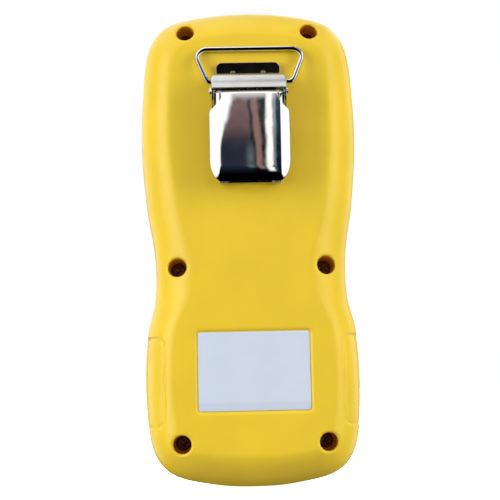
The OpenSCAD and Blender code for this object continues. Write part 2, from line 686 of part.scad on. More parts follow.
module usb_socket() color("silver") placed() difference() {
    usb_slot(1.6, 4.45, 19.4, 26.7);
    usb_slot(1.3, 4.15, 20.2, 28);
}

module port_flap() color([0.14, 0.14, 0.15]) placed() {
    translate([flap_out - flap_t, port_y - flap_h / 2, port_z - flap_half])
        cube([flap_t, flap_h, 2 * flap_half - flap_t / 2]);
    rod_y(flap_axis[0], flap_axis[1], flap_t / 2, port_y - flap_h / 2, port_y + flap_h / 2);
    rod_y(flap_axis[0], flap_axis[1], trunnion_r, port_y - flap_h / 2 - 0.8, port_y + flap_h / 2 + 0.8);
    usb_slot(1.5, 4.4, flap_out - flap_t - 0.6, flap_out - flap_t + eps);
}

// Side view of the flat ribbon between the two boards, as y and z
RIBBON = [
    [sensor_foot, 76.4], [sensor_foot + 0.3, 76.4], [sensor_foot + 0.3, 75.3], [-2.4, 73.3], [-0.6, 71.4],
    [1.2, 69.4], [board_y, 68.4], [board_y, 66], [board_y - 0.3, 66], [board_y - 0.3, 68.2], [0.9, 69.1],
    [-0.9, 71.1], [-2.7, 73], [sensor_foot, 75]
];
module board_ribbon() color("peru") placed()
    translate([-4, 0, 0]) rotate([90, 0, 90]) linear_extrude(8) polygon(RIBBON);

// ---------- power and vibration ----------

battery_front = -6.8;
module battery() color("slategray") placed() {
    plate_y(29, 46, 2.2, 42.5, -14.3, battery_front);
    plate_y(20, 2.4, 0.3, 66.6, -12.5, -8.6);
}

module battery_pad() color([0.2, 0.2, 0.2]) placed() plate_y(26, 42, 1, 42.5, back_y + wall, -14.3);

// Side view of a leaf spring from the back of the display board to a terminal of the battery
CONTACT = [
    [board_y, 66], [board_y - 0.3, 66], [board_y - 0.3, 62.5], [battery_front + 0.35, 60.7],
    [battery_front, 60.3], [battery_front, 59.6], [battery_front + 0.3, 59.5], [battery_front + 0.35, 60.3],
    [board_y - 0.1, 62.2], [board_y, 62.2]
];
module battery_contacts() color("goldenrod") placed()
    for (x = [-6, 0, 6]) translate([x - 1, 0, 0]) rotate([90, 0, 90]) linear_extrude(2) polygon(CONTACT);

motor_y = -10.2;
motor_z = 10.6;
shaft_r = 0.5;
module vibration_motor() color("silver") placed() {
    difference() {
        rod_x(motor_y, motor_z, 3, -9, 2.6);
        rod_x(motor_y, motor_z, shaft_r + hinge_gap, 0, 3);
    }
}

module motor_boot() color([0.12, 0.12, 0.12]) placed() difference() {
    union() {
        rod_x(motor_y, motor_z, 3.7, -8, 1.8);
        translate([-8, back_y + wall, motor_z]) cube([9.8, 3, 3.9]);
    }
    rod_x(motor_y, motor_z, 3, -10, 3);
}

// The weight with the shaft that spins in the motor
module vibration_weight() color("dimgray") placed() {
    intersection() {
        rod_x(motor_y, motor_z, 2.9, 3.8, 7.8);
        translate([3, motor_y - 3, motor_z - 4]) cube([6, 6, 4.8]);
    }
    rod_x(motor_y, motor_z, shaft_r, 0.4, 8.4);
}

// ---------- what each name draws ----------

back_shell();
front_shell();
case_seal();
case_screws();
case_inserts();
rating_label();
clip_base();
clip_frame();
clip_screws();
clip_inserts();
clip_lever();
clip_pin();
clip_spring();
clip_bail();
sensor_cover();
cover_screws();
dust_filters();
sensor_o2();
sensor_co();
sensor_h2s();
sensor_lel();
sensor_board();
sensor_board_screws();
buzzer();
alarm_lens();
alarm_leds();
display_window();
lcd_glass();
lcd_holder();
display_board();
display_board_screws();
key_switches();
key_power();
key_left();
key_right();
usb_socket();
port_flap();
board_ribbon();
battery();
battery_pad();
battery_contacts();
vibration_motor();
motor_boot();
vibration_weight();
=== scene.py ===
import json
import math

import bpy
import numpy as np
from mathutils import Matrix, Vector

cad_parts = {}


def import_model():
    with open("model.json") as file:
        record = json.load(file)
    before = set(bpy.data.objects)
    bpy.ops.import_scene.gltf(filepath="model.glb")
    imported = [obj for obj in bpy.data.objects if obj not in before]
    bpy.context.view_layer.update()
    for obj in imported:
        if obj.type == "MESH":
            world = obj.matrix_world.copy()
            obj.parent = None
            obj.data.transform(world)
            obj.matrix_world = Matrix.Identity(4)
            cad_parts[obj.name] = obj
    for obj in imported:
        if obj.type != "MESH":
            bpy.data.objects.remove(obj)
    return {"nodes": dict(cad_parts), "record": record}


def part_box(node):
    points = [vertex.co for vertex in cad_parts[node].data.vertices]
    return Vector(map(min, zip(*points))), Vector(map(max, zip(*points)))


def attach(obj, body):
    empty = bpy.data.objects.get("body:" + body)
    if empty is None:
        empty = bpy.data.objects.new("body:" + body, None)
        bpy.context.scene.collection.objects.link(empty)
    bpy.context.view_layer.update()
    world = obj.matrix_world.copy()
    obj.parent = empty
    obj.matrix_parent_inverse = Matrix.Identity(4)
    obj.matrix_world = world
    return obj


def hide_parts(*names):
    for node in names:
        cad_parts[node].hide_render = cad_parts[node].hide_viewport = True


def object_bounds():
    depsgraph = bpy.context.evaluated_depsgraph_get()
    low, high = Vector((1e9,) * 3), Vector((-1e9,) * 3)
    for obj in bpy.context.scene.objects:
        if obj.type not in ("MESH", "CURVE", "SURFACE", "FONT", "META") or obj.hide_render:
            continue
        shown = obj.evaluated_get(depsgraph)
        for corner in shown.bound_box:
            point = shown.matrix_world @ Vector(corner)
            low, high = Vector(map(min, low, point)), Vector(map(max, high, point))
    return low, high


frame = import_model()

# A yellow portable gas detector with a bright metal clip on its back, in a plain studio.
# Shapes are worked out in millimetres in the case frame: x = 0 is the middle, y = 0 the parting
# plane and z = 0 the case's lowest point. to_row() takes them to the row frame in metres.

import openvdb
from mathutils import Matrix, Vector

CAD_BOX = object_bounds()
NODES = frame["nodes"]
MM = 0.001

# ---------- the case frame ----------

BACK_Y = -17.0
FRONT_Y = 14.0
WALL = 2.0
FLANK_DROP = 10.0
FRONT_ROUND = 5.5
SPLIT = 0.4
DRAFT = 0.55

case_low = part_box("back_shell")[0]
SHIFT = np.array([0.0, case_low[1] / MM - BACK_Y, case_low[2] / MM])


def to_row(points):
    """Points in millimetres of the case frame, as metres of the row frame."""
    return (np.asarray(points, dtype=float) + SHIFT) * MM


# ---------- the case's form ----------

# Right half of the outline at the parting plane, bottom to top, as x and height
OUTLINE = [
    (0, 0), (10, 0.6), (20.7, 3), (26.1, 7.9), (28.3, 16), (28.9, 29), (28.1, 41), (26, 50.5),
    (26, 62), (28, 75), (29.3, 91), (28.9, 106), (27.6, 116.9), (24.2, 123.2), (18.9, 126.2), (9.8, 127.9),
    (0, 128.5),
]
# Right half of the edge of the flat back panel, point for point with OUTLINE
RIDGE = [
    (0, 9.2), (7.5, 9.4), (14.6, 10.4), (18.4, 13), (19.8, 18.5), (20.8, 30), (19.7, 42), (15.9, 51),
    (15.2, 60), (18.4, 71.5), (20.6, 88), (20.7, 103), (20, 112), (17.8, 116.4), (13.6, 118.4), (7, 119.3),
    (0, 119.6),
]
SCREWS = [(s * x, z) for s in (-1, 1) for x, z in ((16.5, 120.7), (19.4, 57.8), (18.8, 12.1))]
SCREW_SEAT_Y, SCREW_TIP_Y = -5.0, 5.0
SCREW_HEAD_R, SCREW_HEAD_H, SCREW_SHANK_R = 2.1, 1.7, 1.2
BORE_R, SCREW_HOLE_R = 2.4, 1.5
BACK_BOSS_R, FRONT_BOSS_R = 3.9, 3.4
SENSOR_X, SENSOR_HIGH, SENSOR_LOW = 11.4, 107.2, 84.6
SENSORS = [(s * SENSOR_X, z) for s in (-1, 1) for z in (SENSOR_HIGH, SENSOR_LOW)]
INLET_R, PORT_R = 8.8, 7.4
COVER_Z = (SENSOR_HIGH + SENSOR_LOW) / 2
COVER_HALF_X, COVER_HALF_Z = 21.5, 23.2
COVER_SCREW_X = 19.0
# Each key's place across and its radius
KEYS = {"key_power": (0.0, 6.0), "key_left": (-14.5, 4.6), "key_right": (14.5, 4.6)}
KEY_Z = 24.0
KEY_TOP_Y, FLANGE_TOP_Y, FLANGE_LOW_Y, STEM_LOW_Y = 15.0, 11.9, 10.7, 8.8
DISPLAY_Z = 54.0
WINDOW_HALF_X, WINDOW_HALF_Z = 19.0, 14.0
LENS_Z = 123.2
FLAP_Y, FLAP_Z = 5.2, 27.0
GRIP_Z = 28.0
LABEL_Z = 30.5
LABEL_HALF_X, LABEL_HALF_Z = 14.5, 10.2


def smooth_curve(knots, steps):
    """A smooth curve from the second knot to the last but one, steps points a stretch."""
    out = []
    for a, b, c, d in zip(knots, knots[1:], knots[2:], knots[3:]):
        for t in np.arange(steps) / steps:
            out.append(0.5 * (2 * b + (c - a) * t + (2 * a - 5 * b + 4 * c - d) * t**2
                              + (3 * b - a - 3 * c + d) * t**3))
    out.append(knots[-2])
    return np.array(out)


def smooth_half(knots, steps):
    """A smooth half outline through knots, with its ends on the centre line."""
    k = np.array(knots, dtype=float)
    flip = np.array([-1.0, 1.0])
    return smooth_curve(np.vstack([k[1] * flip, k, k[-2] * flip]), steps)


def smooth_open(knots, steps):
    """A smooth open curve through knots."""
    k = np.array(knots, dtype=float)
    return smooth_curve(np.vstack([2 * k[0] - k[1], k, 2 * k[-1] - k[-2]]), steps)


def inset_half(half, depth):
    """The half outline moved in along its own normals."""
    flip = np.array([-1.0, 1.0])
    ends = np.vstack([half[1] * flip, half, half[-2] * flip])
    along = ends[2:] - ends[:-2]
    along /= np.linalg.norm(along, axis=1)[:, None]
    return half + depth * np.stack([-along[:, 1], along[:, 0]], axis=1)


def ring(half, y):
    """A closed ring at depth y from a right half."""
    right = np.stack([half[:, 0], np.full(len(half), y), half[:, 1]], axis=1)
    left = right[-2:0:-1] * np.array([-1.0, 1.0, 1.0])
    return np.vstack([right, left])


def fall(share, p, q):
    """How far the surface has fallen at that share of the way from ridge to outline."""
    return 1 - max(0.0, 1 - share**p) ** q


def shares(count, power):
    """Shares of the way, closer together towards the steep end."""
    return [1 - (1 - i / count) ** power for i in range(count + 1)]


OUTER = smooth_half(OUTLINE, 12)
EDGE = smooth_half(RIDGE, 12)
SIDE = inset_half(OUTER, DRAFT)
INNER = inset_half(OUTER, WALL)
INNER_SIDE = inset_half(OUTER, WALL + DRAFT)
INNER_EDGE = inset_half(EDGE, WALL * 0.6)
FRONT = inset_half(OUTER, FRONT_ROUND)
FRONT_INNER = inset_half(OUTER, FRONT_ROUND + WALL * 0.3)


def back_rings(edge, side, rim, panel_y, drop, last_y):
    """Rings from the panel's edge down the flank to the side, and on to the rim."""
    rings = [ring(edge + (side - edge) * s, panel_y + drop * fall(s, 1.5, 0.6)) for s in shares(40, 1.7)]
    return rings + [ring(rim, last_y), ring(rim, last_y + 2.4)]


def front_rings(face, rim, face_y, drop, last_y):
    """Rings from the front face round its edge to the rim, and on down the side."""
    rings = [ring(face + (rim - face) * s, face_y - drop * fall(s, 2.2, 0.5)) for s in shares(28, 1.8)]
    return rings + [ring(rim, last_y)]


# ---------- solids as distance fields ----------


class Space:
    """A block of voxels over a box of the case frame, in millimetres."""

    def __init__(self, low, high, voxel):
        self.voxel = voxel
        self.first = np.floor(np.array(low) / voxel).astype(int) - 4
        last = np.ceil(np.array(high) / voxel).astype(int) + 4
        self.shape = tuple(int(n) for n in last - self.first)
        axes = [(self.first[i] + np.arange(self.shape[i])) * voxel for i in range(3)]
        self.x = axes[0][:, None, None].astype(np.float32)
        self.y = axes[1][None, :, None].astype(np.float32)
        self.z = axes[2][None, None, :].astype(np.float32)

    def inside_loft(self, rings):
        """Distance to a solid lofted through rings of the same number of points."""
        n, k = len(rings[0]), len(rings)
        i = np.arange(n)
        after = (i + 1) % n
        walls = [np.stack([j * n + i, j * n + after, (j + 1) * n + after, (j + 1) * n + i], axis=1)
                 for j in range(k - 1)]
        h = np.arange(n // 2 - 1)
        cap = np.stack([h, h + 1, n - 2 - h, n - 1 - h], axis=1)
        quads = np.vstack(walls + [cap, cap + (k - 1) * n]).astype(np.uint32)
        grid = openvdb.FloatGrid.createLevelSetFromPolygons(
            np.vstack(rings).astype(np.float32), quads=quads,
            transform=openvdb.createLinearTransform(self.voxel), halfWidth=5.0)
        out = np.zeros(self.shape, dtype=np.float32)
        grid.copyToArray(out, ijk=tuple(int(v) for v in self.first))
        return out

    def mesh(self, name, field):
        """The field's surface as a mesh in the row frame, with smooth normals."""
        field = np.ascontiguousarray(np.broadcast_to(field, self.shape), dtype=np.float32)
        reach = 3 * self.voxel
        grid = openvdb.FloatGrid(reach)
        grid.copyFromArray(np.clip(field, -reach, reach), ijk=tuple(int(v) for v in self.first))
        grid.transform = openvdb.createLinearTransform(self.voxel)
        points, triangles, quads = grid.convertToPolygons(isovalue=0.0, adaptivity=0.0)
        faces = [f[::-1].tolist() for kind in (triangles, quads) for f in np.asarray(kind)]
        return new_mesh(name, to_row(points), faces)


def meet(a, b, radius=0.0):
    """Where both solids are, with the edge between them rounded."""
    if radius == 0:
        return np.maximum(a, b)
    h = np.maximum(radius - np.abs(a - b), 0) / radius
    return np.maximum(a, b) + h * h * radius / 4


def join(a, b, radius=0.0):
    """Where either solid is, with the corner between them filled."""
    return -meet(-a, -b, radius)


def cut(a, b, radius=0.0):
    """Where a is and b isn't, with the edge between them rounded."""
    return meet(a, -b, radius)


def rect(u, v, half_u, half_v, corner):
    """Distance to a rectangle with round corners."""
    a, b = np.abs(u) - half_u + corner, np.abs(v) - half_v + corner
    return np.hypot(np.maximum(a, 0), np.maximum(b, 0)) + np.minimum(np.maximum(a, b), 0) - corner


def disc(u, v, radius):
    """Distance to a disc round the origin."""
    return np.hypot(u, v) - radius


def layer(y, y0, y1):
    """Distance to the space between two planes."""
    return np.maximum(y0 - y, y - y1)


# ---------- meshes ----------


def new_mesh(name, points, faces, smooth=True):
    """An object from points in the row frame."""
    mesh = bpy.data.meshes.new(name)
    mesh.from_pydata([tuple(p) for p in points], [], faces)
    mesh.validate()
    mesh.polygons.foreach_set("use_smooth", [smooth] * len(mesh.polygons))
    mesh.update()
    obj = bpy.data.objects.new(name, mesh)
    bpy.context.scene.collection.objects.link(obj)
    return obj


def grid_faces(rows, columns, closed=False, start=0):
    """Faces of a grid of points, row by row; closed joins the last column to the first."""
    last = columns if closed else columns - 1
    return [[start + j * columns + i, start + j * columns + (i + 1) % columns,
             start + (j + 1) * columns + (i + 1) % columns, start + (j + 1) * columns + i]
            for j in range(rows - 1) for i in range(last)]


def tube(name, path, radius, sides):
    """A round wire along path, in the case frame, with flat ends."""
    along = np.gradient(path, axis=0)
    along /= np.linalg.norm(along, axis=1)[:, None]
    slanted = [0.31, 0.42, 0.85]
    side = np.cross(along[0], slanted)
    side /= np.linalg.norm(side)
    points, angles = [], np.arange(sides) * 2 * math.pi / sides
    for p, t in zip(path, along):
        side = side - t * np.dot(side, t)
        side /= np.linalg.norm(side)
        up = np.cross(t, side)
        points += [p + radius * (math.cos(a) * side + math.sin(a) * up) for a in angles]
    faces = grid_faces(len(path), sides, closed=True)
    faces += [list(range(sides))[::-1], [(len(path) - 1) * sides + i for i in range(sides)]]
    return new_mesh(name, to_row(points), faces)


def add_bevel(obj, width, segments, angle):
    """Rounds the edges where faces meet at more than angle degrees."""
    bevel = obj.modifiers.new("round_edges", "BEVEL")
    bevel.width = width * MM
    bevel.segments = segments
    bevel.limit_method = "ANGLE"
    bevel.angle_limit = math.radians(angle)
    bevel.harden_normals = False


def join_objects(objects, name):
    """One object from several, all still in the row frame."""
    with bpy.context.temp_override(active_object=objects[0], selected_editable_objects=objects):
        bpy.ops.object.join()
    objects[0].name = name
    return objects[0]


# ---------- materials ----------


class Shader:
    """A material with a Principled shader and short ways to feed it."""

    def __init__(self, name, **sockets):
        self.material = bpy.data.materials.new(name)
        self.material.use_nodes = True
        self.tree = self.material.node_tree
        self.bsdf = self.tree.nodes["Principled BSDF"]
        for key, value in sockets.items():
            self.bsdf.inputs[key.replace("_", " ")].default_value = value
        self.position = self.tree.nodes.new("ShaderNodeTexCoord").outputs["Object"]

    def node(self, kind, **values):
        made = self.tree.nodes.new(kind)
        for key, value in values.items():
            setattr(made, key, value)
        return made

    def link(self, output, target):
        self.tree.links.new(output, target)

    def noise(self, size_mm, detail=3.0, stretch=(1, 1, 1), roughness=0.5):
        """Noise whose blotches are about size_mm across, from 0 to 1."""
        mapping = self.node("ShaderNodeMapping")
        mapping.inputs["Scale"].default_value = [s / (size_mm * MM) for s in stretch]
        self.link(self.position, mapping.inputs["Vector"])
        noise = self.node("ShaderNodeTexNoise")
        noise.inputs["Scale"].default_value = 1.0
        noise.inputs["Detail"].default_value = detail
        noise.inputs["Roughness"].default_value = roughness
        self.link(mapping.outputs["Vector"], noise.inputs["Vector"])
        return noise.outputs["Fac"]

    def ramp(self, fac, stops):
        ramp = self.node("ShaderNodeValToRGB")
        elements = ramp.color_ramp.elements
        while len(elements) < len(stops):
            elements.new(0.5)
        for element, (place, colour) in zip(elements, stops):
            element.position = place
            element.color = colour if len(colour) == 4 else (*colour, 1)
        self.link(fac, ramp.inputs["Fac"])
        return ramp.outputs["Color"]

    def spread(self, fac, low, high):
        """fac, mostly within 0.35 to 0.65, taken to low and high."""
        remap = self.node("ShaderNodeMapRange")
        remap.inputs["From Min"].default_value = 0.35
        remap.inputs["From Max"].default_value = 0.65
        remap.inputs["To Min"].default_value = low
        remap.inputs["To Max"].default_value = high
        self.link(fac, remap.inputs["Value"])
        return remap.outputs["Result"]

    def colour(self, fac, dark, light):
        self.link(self.ramp(fac, [(0.35, dark), (0.65, light)]), self.bsdf.inputs["Base Color"])

    def roughness(self, fac, low, high):
        self.link(self.spread(fac, low, high), self.bsdf.inputs["Roughness"])

    def bumps(self, *layers):
        """Each layer is a height output and its depth in millimetres."""
        normal = None
        for height, depth_mm in layers:
            bump = self.node("ShaderNodeBump")
            bump.inputs["Strength"].default_value = 1.0
            bump.inputs["Distance"].default_value = depth_mm * MM
            self.link(height, bump.inputs["Height"])
            if normal is not None:
                self.link(normal, bump.inputs["Normal"])
            normal = bump.outputs["Normal"]
        self.link(normal, self.bsdf.inputs["Normal"])


def tint(colour, factor):
    """The colour made darker or lighter."""
    return tuple(min(1.0, c * factor) for c in colour)


def plastic(name, colour, rough=(0.34, 0.44), grain_mm=0.16, grain_depth=0.004, **sockets):
    """Moulded plastic: fine spark-eroded grain, faint flow marks and patches of wear."""
    s = Shader(name, Specular_IOR_Level=0.5, **sockets)
    s.colour(s.noise(14, 4), tint(colour, 0.965), tint(colour, 1.035))
    s.roughness(s.noise(5, 5), *rough)
    s.bumps((s.noise(9, 2), 0.012), (s.noise(grain_mm, 2), grain_depth))
    return s.material


def shell_plastic(name, colour):
    """The case's plastic, with painted shade and painted bounce light: ambient occlusion turns its bores,
    recesses and corners a darker orange and gives them a faint orange emission.
    """
    s = Shader(name, Specular_IOR_Level=0.5, Emission_Strength=1.0)
    shade = s.node("ShaderNodeAmbientOcclusion", samples=6, only_local=True)
    shade.inputs["Distance"].default_value = 4 * MM
    open_air = shade.outputs["AO"]
    patches = s.ramp(s.noise(14, 4), [(0.35, tint(colour, 0.97)), (0.65, tint(colour, 1.03))])
    # Painted shade: the colour turns darker and orange where ambient occlusion finds bores, recesses and
    # corners.
    painted_recess_shade = s.ramp(open_air, [(0.0, (0.5, 0.06, 0.004)), (0.35, (0.78, 0.2, 0.004)), (0.8, (1, 1, 1))])
    mix = s.node("ShaderNodeMix", data_type="RGBA", blend_type="MULTIPLY")
    mix.inputs[0].default_value = 1.0
    s.link(patches, mix.inputs[6])
    s.link(painted_recess_shade, mix.inputs[7])
    s.link(mix.outputs[2], s.bsdf.inputs["Base Color"])
    # Painted bounce light: a faint orange emission in the same bores and corners, though the plastic is no
    # lamp.
    painted_recess_bounce = s.ramp(open_air, [(0.0, (0.02, 0.001, 0.001)), (0.12, (0.12, 0.016, 0.002)),
                             (0.3, (0.26, 0.07, 0.002)), (0.5, (0.0, 0.0, 0.0))])
    s.link(painted_recess_bounce, s.bsdf.inputs["Emission Color"])
    s.roughness(s.noise(5, 5), 0.3, 0.38)
    s.bumps((s.noise(9, 2), 0.012), (s.noise(0.16, 2), 0.004))
    return s.material


def rubber(name, colour):
    """Matt rubber, foam or membrane, mottled and finely rough."""
    s = Shader(name, Specular_IOR_Level=0.35)
    s.colour(s.noise(3, 5), tint(colour, 0.8), tint(colour, 1.3))
    s.roughness(s.noise(2, 4), 0.55, 0.75)
    s.bumps((s.noise(0.25, 3), 0.012))
    return s.material


def metal(name, colour, rough, scratch=(1, 1, 14), scratch_mm=0.6, depth=0.0012):
    """Metal with fine drawn marks along one direction and smudges in its shine."""
    s = Shader(name, Metallic=1.0)
    s.colour(s.noise(4, 4), tint(colour, 0.93), tint(colour, 1.03))
    s.roughness(s.noise(2.2, 5), *rough)
    s.bumps((s.noise(scratch_mm, 4, scratch), depth))
    return s.material


def wire_painted_reflection():
    """Bright wire with painted reflection in its colour: dark where it faces the viewer, bright bands beside
    that, and greyer at its far edges.
    """
    s = Shader("wire_painted_reflection", Metallic=1.0)
    facing = s.node("ShaderNodeLayerWeight").outputs["Facing"]
    # Painted reflection: the colour follows the viewing angle, with a dark stripe facing the viewer and
    # painted highlights beside it.
    bright = (0.93, 0.93, 0.92)
    painted_reflection_stripes = s.ramp(facing, [(0.0, (0.002, 0.002, 0.003)), (0.13, (0.003, 0.003, 0.004)),
                              (0.2, bright), (0.55, bright), (0.75, (0.3, 0.3, 0.29))])
    s.link(painted_reflection_stripes, s.bsdf.inputs["Base Color"])
    s.roughness(s.noise(2, 4), 0.02, 0.06)
    s.bumps((s.noise(0.8, 4, (6, 6, 1)), 0.0004))
    return s.material


def plate_painted_dark_face():
    """Bright steel whose faces facing away from the case are painted dark, a painted dark reflection; its
    edges and teeth keep the bright steel.
    """
    s = Shader("plate_painted_dark_face", Metallic=1.0)
    split = s.node("ShaderNodeSeparateXYZ")
    s.link(s.node("ShaderNodeNewGeometry").outputs["Normal"], split.inputs["Vector"])
    painted_dark_face_mask = s.node("ShaderNodeMapRange")
    painted_dark_face_mask.inputs["From Min"].default_value = -0.985
    painted_dark_face_mask.inputs["From Max"].default_value = -0.85
    s.link(split.outputs["Y"], painted_dark_face_mask.inputs["Value"])
    # Painted dark reflection on the faces that face away from the case; bright steel on the edges, teeth and
    # other faces.
    colour = s.ramp(painted_dark_face_mask.outputs["Result"], [(0.0, (0.05, 0.05, 0.042)), (1.0, (0.8, 0.8, 0.79))])
    s.link(colour, s.bsdf.inputs["Base Color"])
    s.roughness(s.noise(2.2, 5), 0.12, 0.25)
    s.bumps((s.noise(0.5, 4, (1, 1, 10)), 0.001))
    return s.material


def circuit_board():
    """Solder mask over copper tracks that show through as a lighter green grid."""
    s = Shader("circuit_board", Roughness=0.3, Coat_Weight=0.3, Coat_Roughness=0.15)
    brick = s.node("ShaderNodeTexBrick")
    brick.inputs["Scale"].default_value = 420
    brick.inputs["Mortar Size"].default_value = 0.05
    brick.inputs["Color1"].default_value = (0.012, 0.12, 0.045, 1)
    brick.inputs["Color2"].default_value = (0.02, 0.19, 0.07, 1)
    brick.inputs["Mortar"].default_value = (0.05, 0.3, 0.12, 1)
    s.link(s.position, brick.inputs["Vector"])
    s.link(brick.outputs["Color"], s.bsdf.inputs["Base Color"])
    s.bumps((brick.outputs["Fac"], 0.03))
    return s.material


def label_film():
    """Satin film, pale blue-grey with a faint mottle, and slightly darker along its foot."""
    s = Shader("label_film", Specular_IOR_Level=0.45)
    split = s.node("ShaderNodeSeparateXYZ")
    s.link(s.position, split.inputs["Vector"])
    strip = s.node("ShaderNodeMapRange")
    strip.inputs["From Min"].default_value = to_row((0, 0, LABEL_Z - 8.1))[2]
    strip.inputs["From Max"].default_value = to_row((0, 0, LABEL_Z - 7.9))[2]
    s.link(split.outputs["Z"], strip.inputs["Value"])
    mix = s.node("ShaderNodeMix", data_type="RGBA", blend_type="MULTIPLY")
    mix.inputs[0].default_value = 1.0
    s.link(s.ramp(s.noise(6, 5), [(0.35, (0.58, 0.645, 0.75)), (0.65, (0.6, 0.665, 0.77))]), mix.inputs[6])
    s.link(s.ramp(strip.outputs["Result"], [(0.0, (0.94, 0.935, 0.93)), (1.0, (1, 1, 1))]), mix.inputs[7])
    s.link(mix.outputs[2], s.bsdf.inputs["Base Color"])
    s.roughness(s.noise(1.5, 4), 0.42, 0.55)
    s.bumps((s.noise(0.3, 3), 0.003), (s.noise(12, 2), 0.02))
    return s.material


YELLOW = (0.8, 0.55, 0.024)
MATERIALS = {
    "yellow_shell": shell_plastic("yellow_shell", YELLOW),
    "black_rubber": rubber("black_rubber", (0.02, 0.02, 0.022)),
    # The screws' colour is darker and warmer than steel: painted shade and painted orange bounce light from
    # the bottom of their bores.
    "screw_steel": metal("screw_steel", (0.2, 0.15, 0.14), (0.2, 0.35)),
    "insert_brass": metal("insert_brass", (0.72, 0.5, 0.2), (0.2, 0.35)),
    "label_film": label_film(),
    "clip_chrome": metal("clip_chrome", (0.86, 0.86, 0.85), (0.035, 0.09), (1, 1, 10), 0.5, 0.0006),
    "spring_steel": metal("spring_steel", (0.4, 0.39, 0.38), (0.2, 0.35)),
    "dark_plastic": plastic("dark_plastic", (0.028, 0.029, 0.032), (0.42, 0.52), 0.22, 0.01),
    "filter_membrane": rubber("filter_membrane", (0.7, 0.7, 0.67)),
    "sensor_grey": plastic("sensor_grey", (0.35, 0.37, 0.4)),
    "sensor_red": plastic("sensor_red", (0.4, 0.03, 0.02)),
    "sensor_blue": plastic("sensor_blue", (0.02, 0.09, 0.3)),
    "sensor_steel": metal("sensor_steel", (0.55, 0.55, 0.54), (0.2, 0.3)),
    "circuit_board": circuit_board(),
    "black_plastic": plastic("black_plastic", (0.015, 0.015, 0.016), (0.4, 0.5)),
    "alarm_red": plastic("alarm_red", (0.5, 0.012, 0.01), (0.08, 0.14), 0.5, 0.001, Transmission_Weight=0.35),
    "led_resin": plastic("led_resin", (0.75, 0.74, 0.7), (0.1, 0.2), Transmission_Weight=0.5),
    "lcd_grey": plastic("lcd_grey", (0.2, 0.24, 0.17), (0.15, 0.22), 0.4, 0.001),
    "white_plastic": plastic("white_plastic", (0.7, 0.7, 0.68)),
    "key_rubber": rubber("key_rubber", (0.03, 0.031, 0.034)),
    "plated_steel": metal("plated_steel", (0.6, 0.59, 0.56), (0.15, 0.3)),
    "ribbon_film": plastic("ribbon_film", (0.35, 0.16, 0.03), (0.2, 0.3)),
    "battery_wrap": plastic("battery_wrap", (0.02, 0.06, 0.18), (0.25, 0.35)),
    "foam_black": rubber("foam_black", (0.025, 0.025, 0.025)),
    "weight_metal": metal("weight_metal", (0.3, 0.3, 0.31), (0.3, 0.45)),
    "window_clear": plastic("window_clear", (0.02, 0.022, 0.024), (0.05, 0.08), 0.5, 0.0006),
}
SLOT_OF = {part["node"]: part["material_slot"] for part in frame["record"]["subparts"]}
BODY_OF = {node: body for body, nodes in frame["record"]["behaviour"]["bodies"].items() for node in nodes}


def finish_in(obj, slot):
    """Gives the piece that finish and names the record's slot."""
    obj.data.materials.clear()
    obj.data.materials.append(MATERIALS[slot])
    return obj


def stand_for(obj, node, finish=None):
    """The piece takes the node's place, body and finish."""
    finish_in(obj, SLOT_OF[node])
    if finish:
        obj.data.materials[0] = finish
    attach(obj, BODY_OF[node])
    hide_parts(node)
    return obj


# ---------- the two shells ----------

SHELL_VOXEL = 0.4
# Half the width and the height of the space that the shells are worked out in
REACH_X, REACH_Z = 30, 130


def bores(space, field):
    """Access bores with rounded rims over the screws, and the clearance holes below them."""
    for x, z in SCREWS:
        field = cut(field, np.maximum(disc(space.x - x, space.z - z, BORE_R), space.y - SCREW_SEAT_Y), 0.7)
        field = cut(field, disc(space.x - x, space.z - z, SCREW_HOLE_R) + 0 * space.y)
    return field


def back_shell():
    """The half with the flat panel, the screw bores, the grip recesses and the label's recess."""
    s = Space((-REACH_X, BACK_Y, 0), (REACH_X, 0, REACH_Z), SHELL_VOXEL)
    outside = s.inside_loft(back_rings(EDGE, SIDE, OUTER, BACK_Y, FLANK_DROP, -SPLIT))
    cavity = s.inside_loft(back_rings(INNER_EDGE, INNER_SIDE, INNER, BACK_Y + WALL, FLANK_DROP - 0.8, 0.0))
    for x, z in SCREWS:
        cavity = cut(cavity, disc(s.x - x, s.z - z, BACK_BOSS_R) + 0 * s.y, 0.6)
    field = meet(outside, s.y + SPLIT, 0.5)
    grip = meet(rect(np.abs(s.x) - 31.4, s.z - GRIP_Z, 8.5, 11.8, 2.6), s.y + 2.4)
    field = cut(field, np.maximum(grip, -(outside + 0.3)), 0.2)
    field = cut(field, np.maximum(np.abs(grip + 0.3) - 0.3, -(outside + 0.55)), 0.2)
    recess = rect(s.x, s.z - LABEL_Z, LABEL_HALF_X + 0.4, LABEL_HALF_Z + 0.4, 1)
    field = cut(field, np.maximum(recess, s.y - (BACK_Y + 0.5)), 0.3)
    field = cut(field, cavity)
    field = bores(s, field)
    return stand_for(s.mesh("back_case", field), "back_shell")


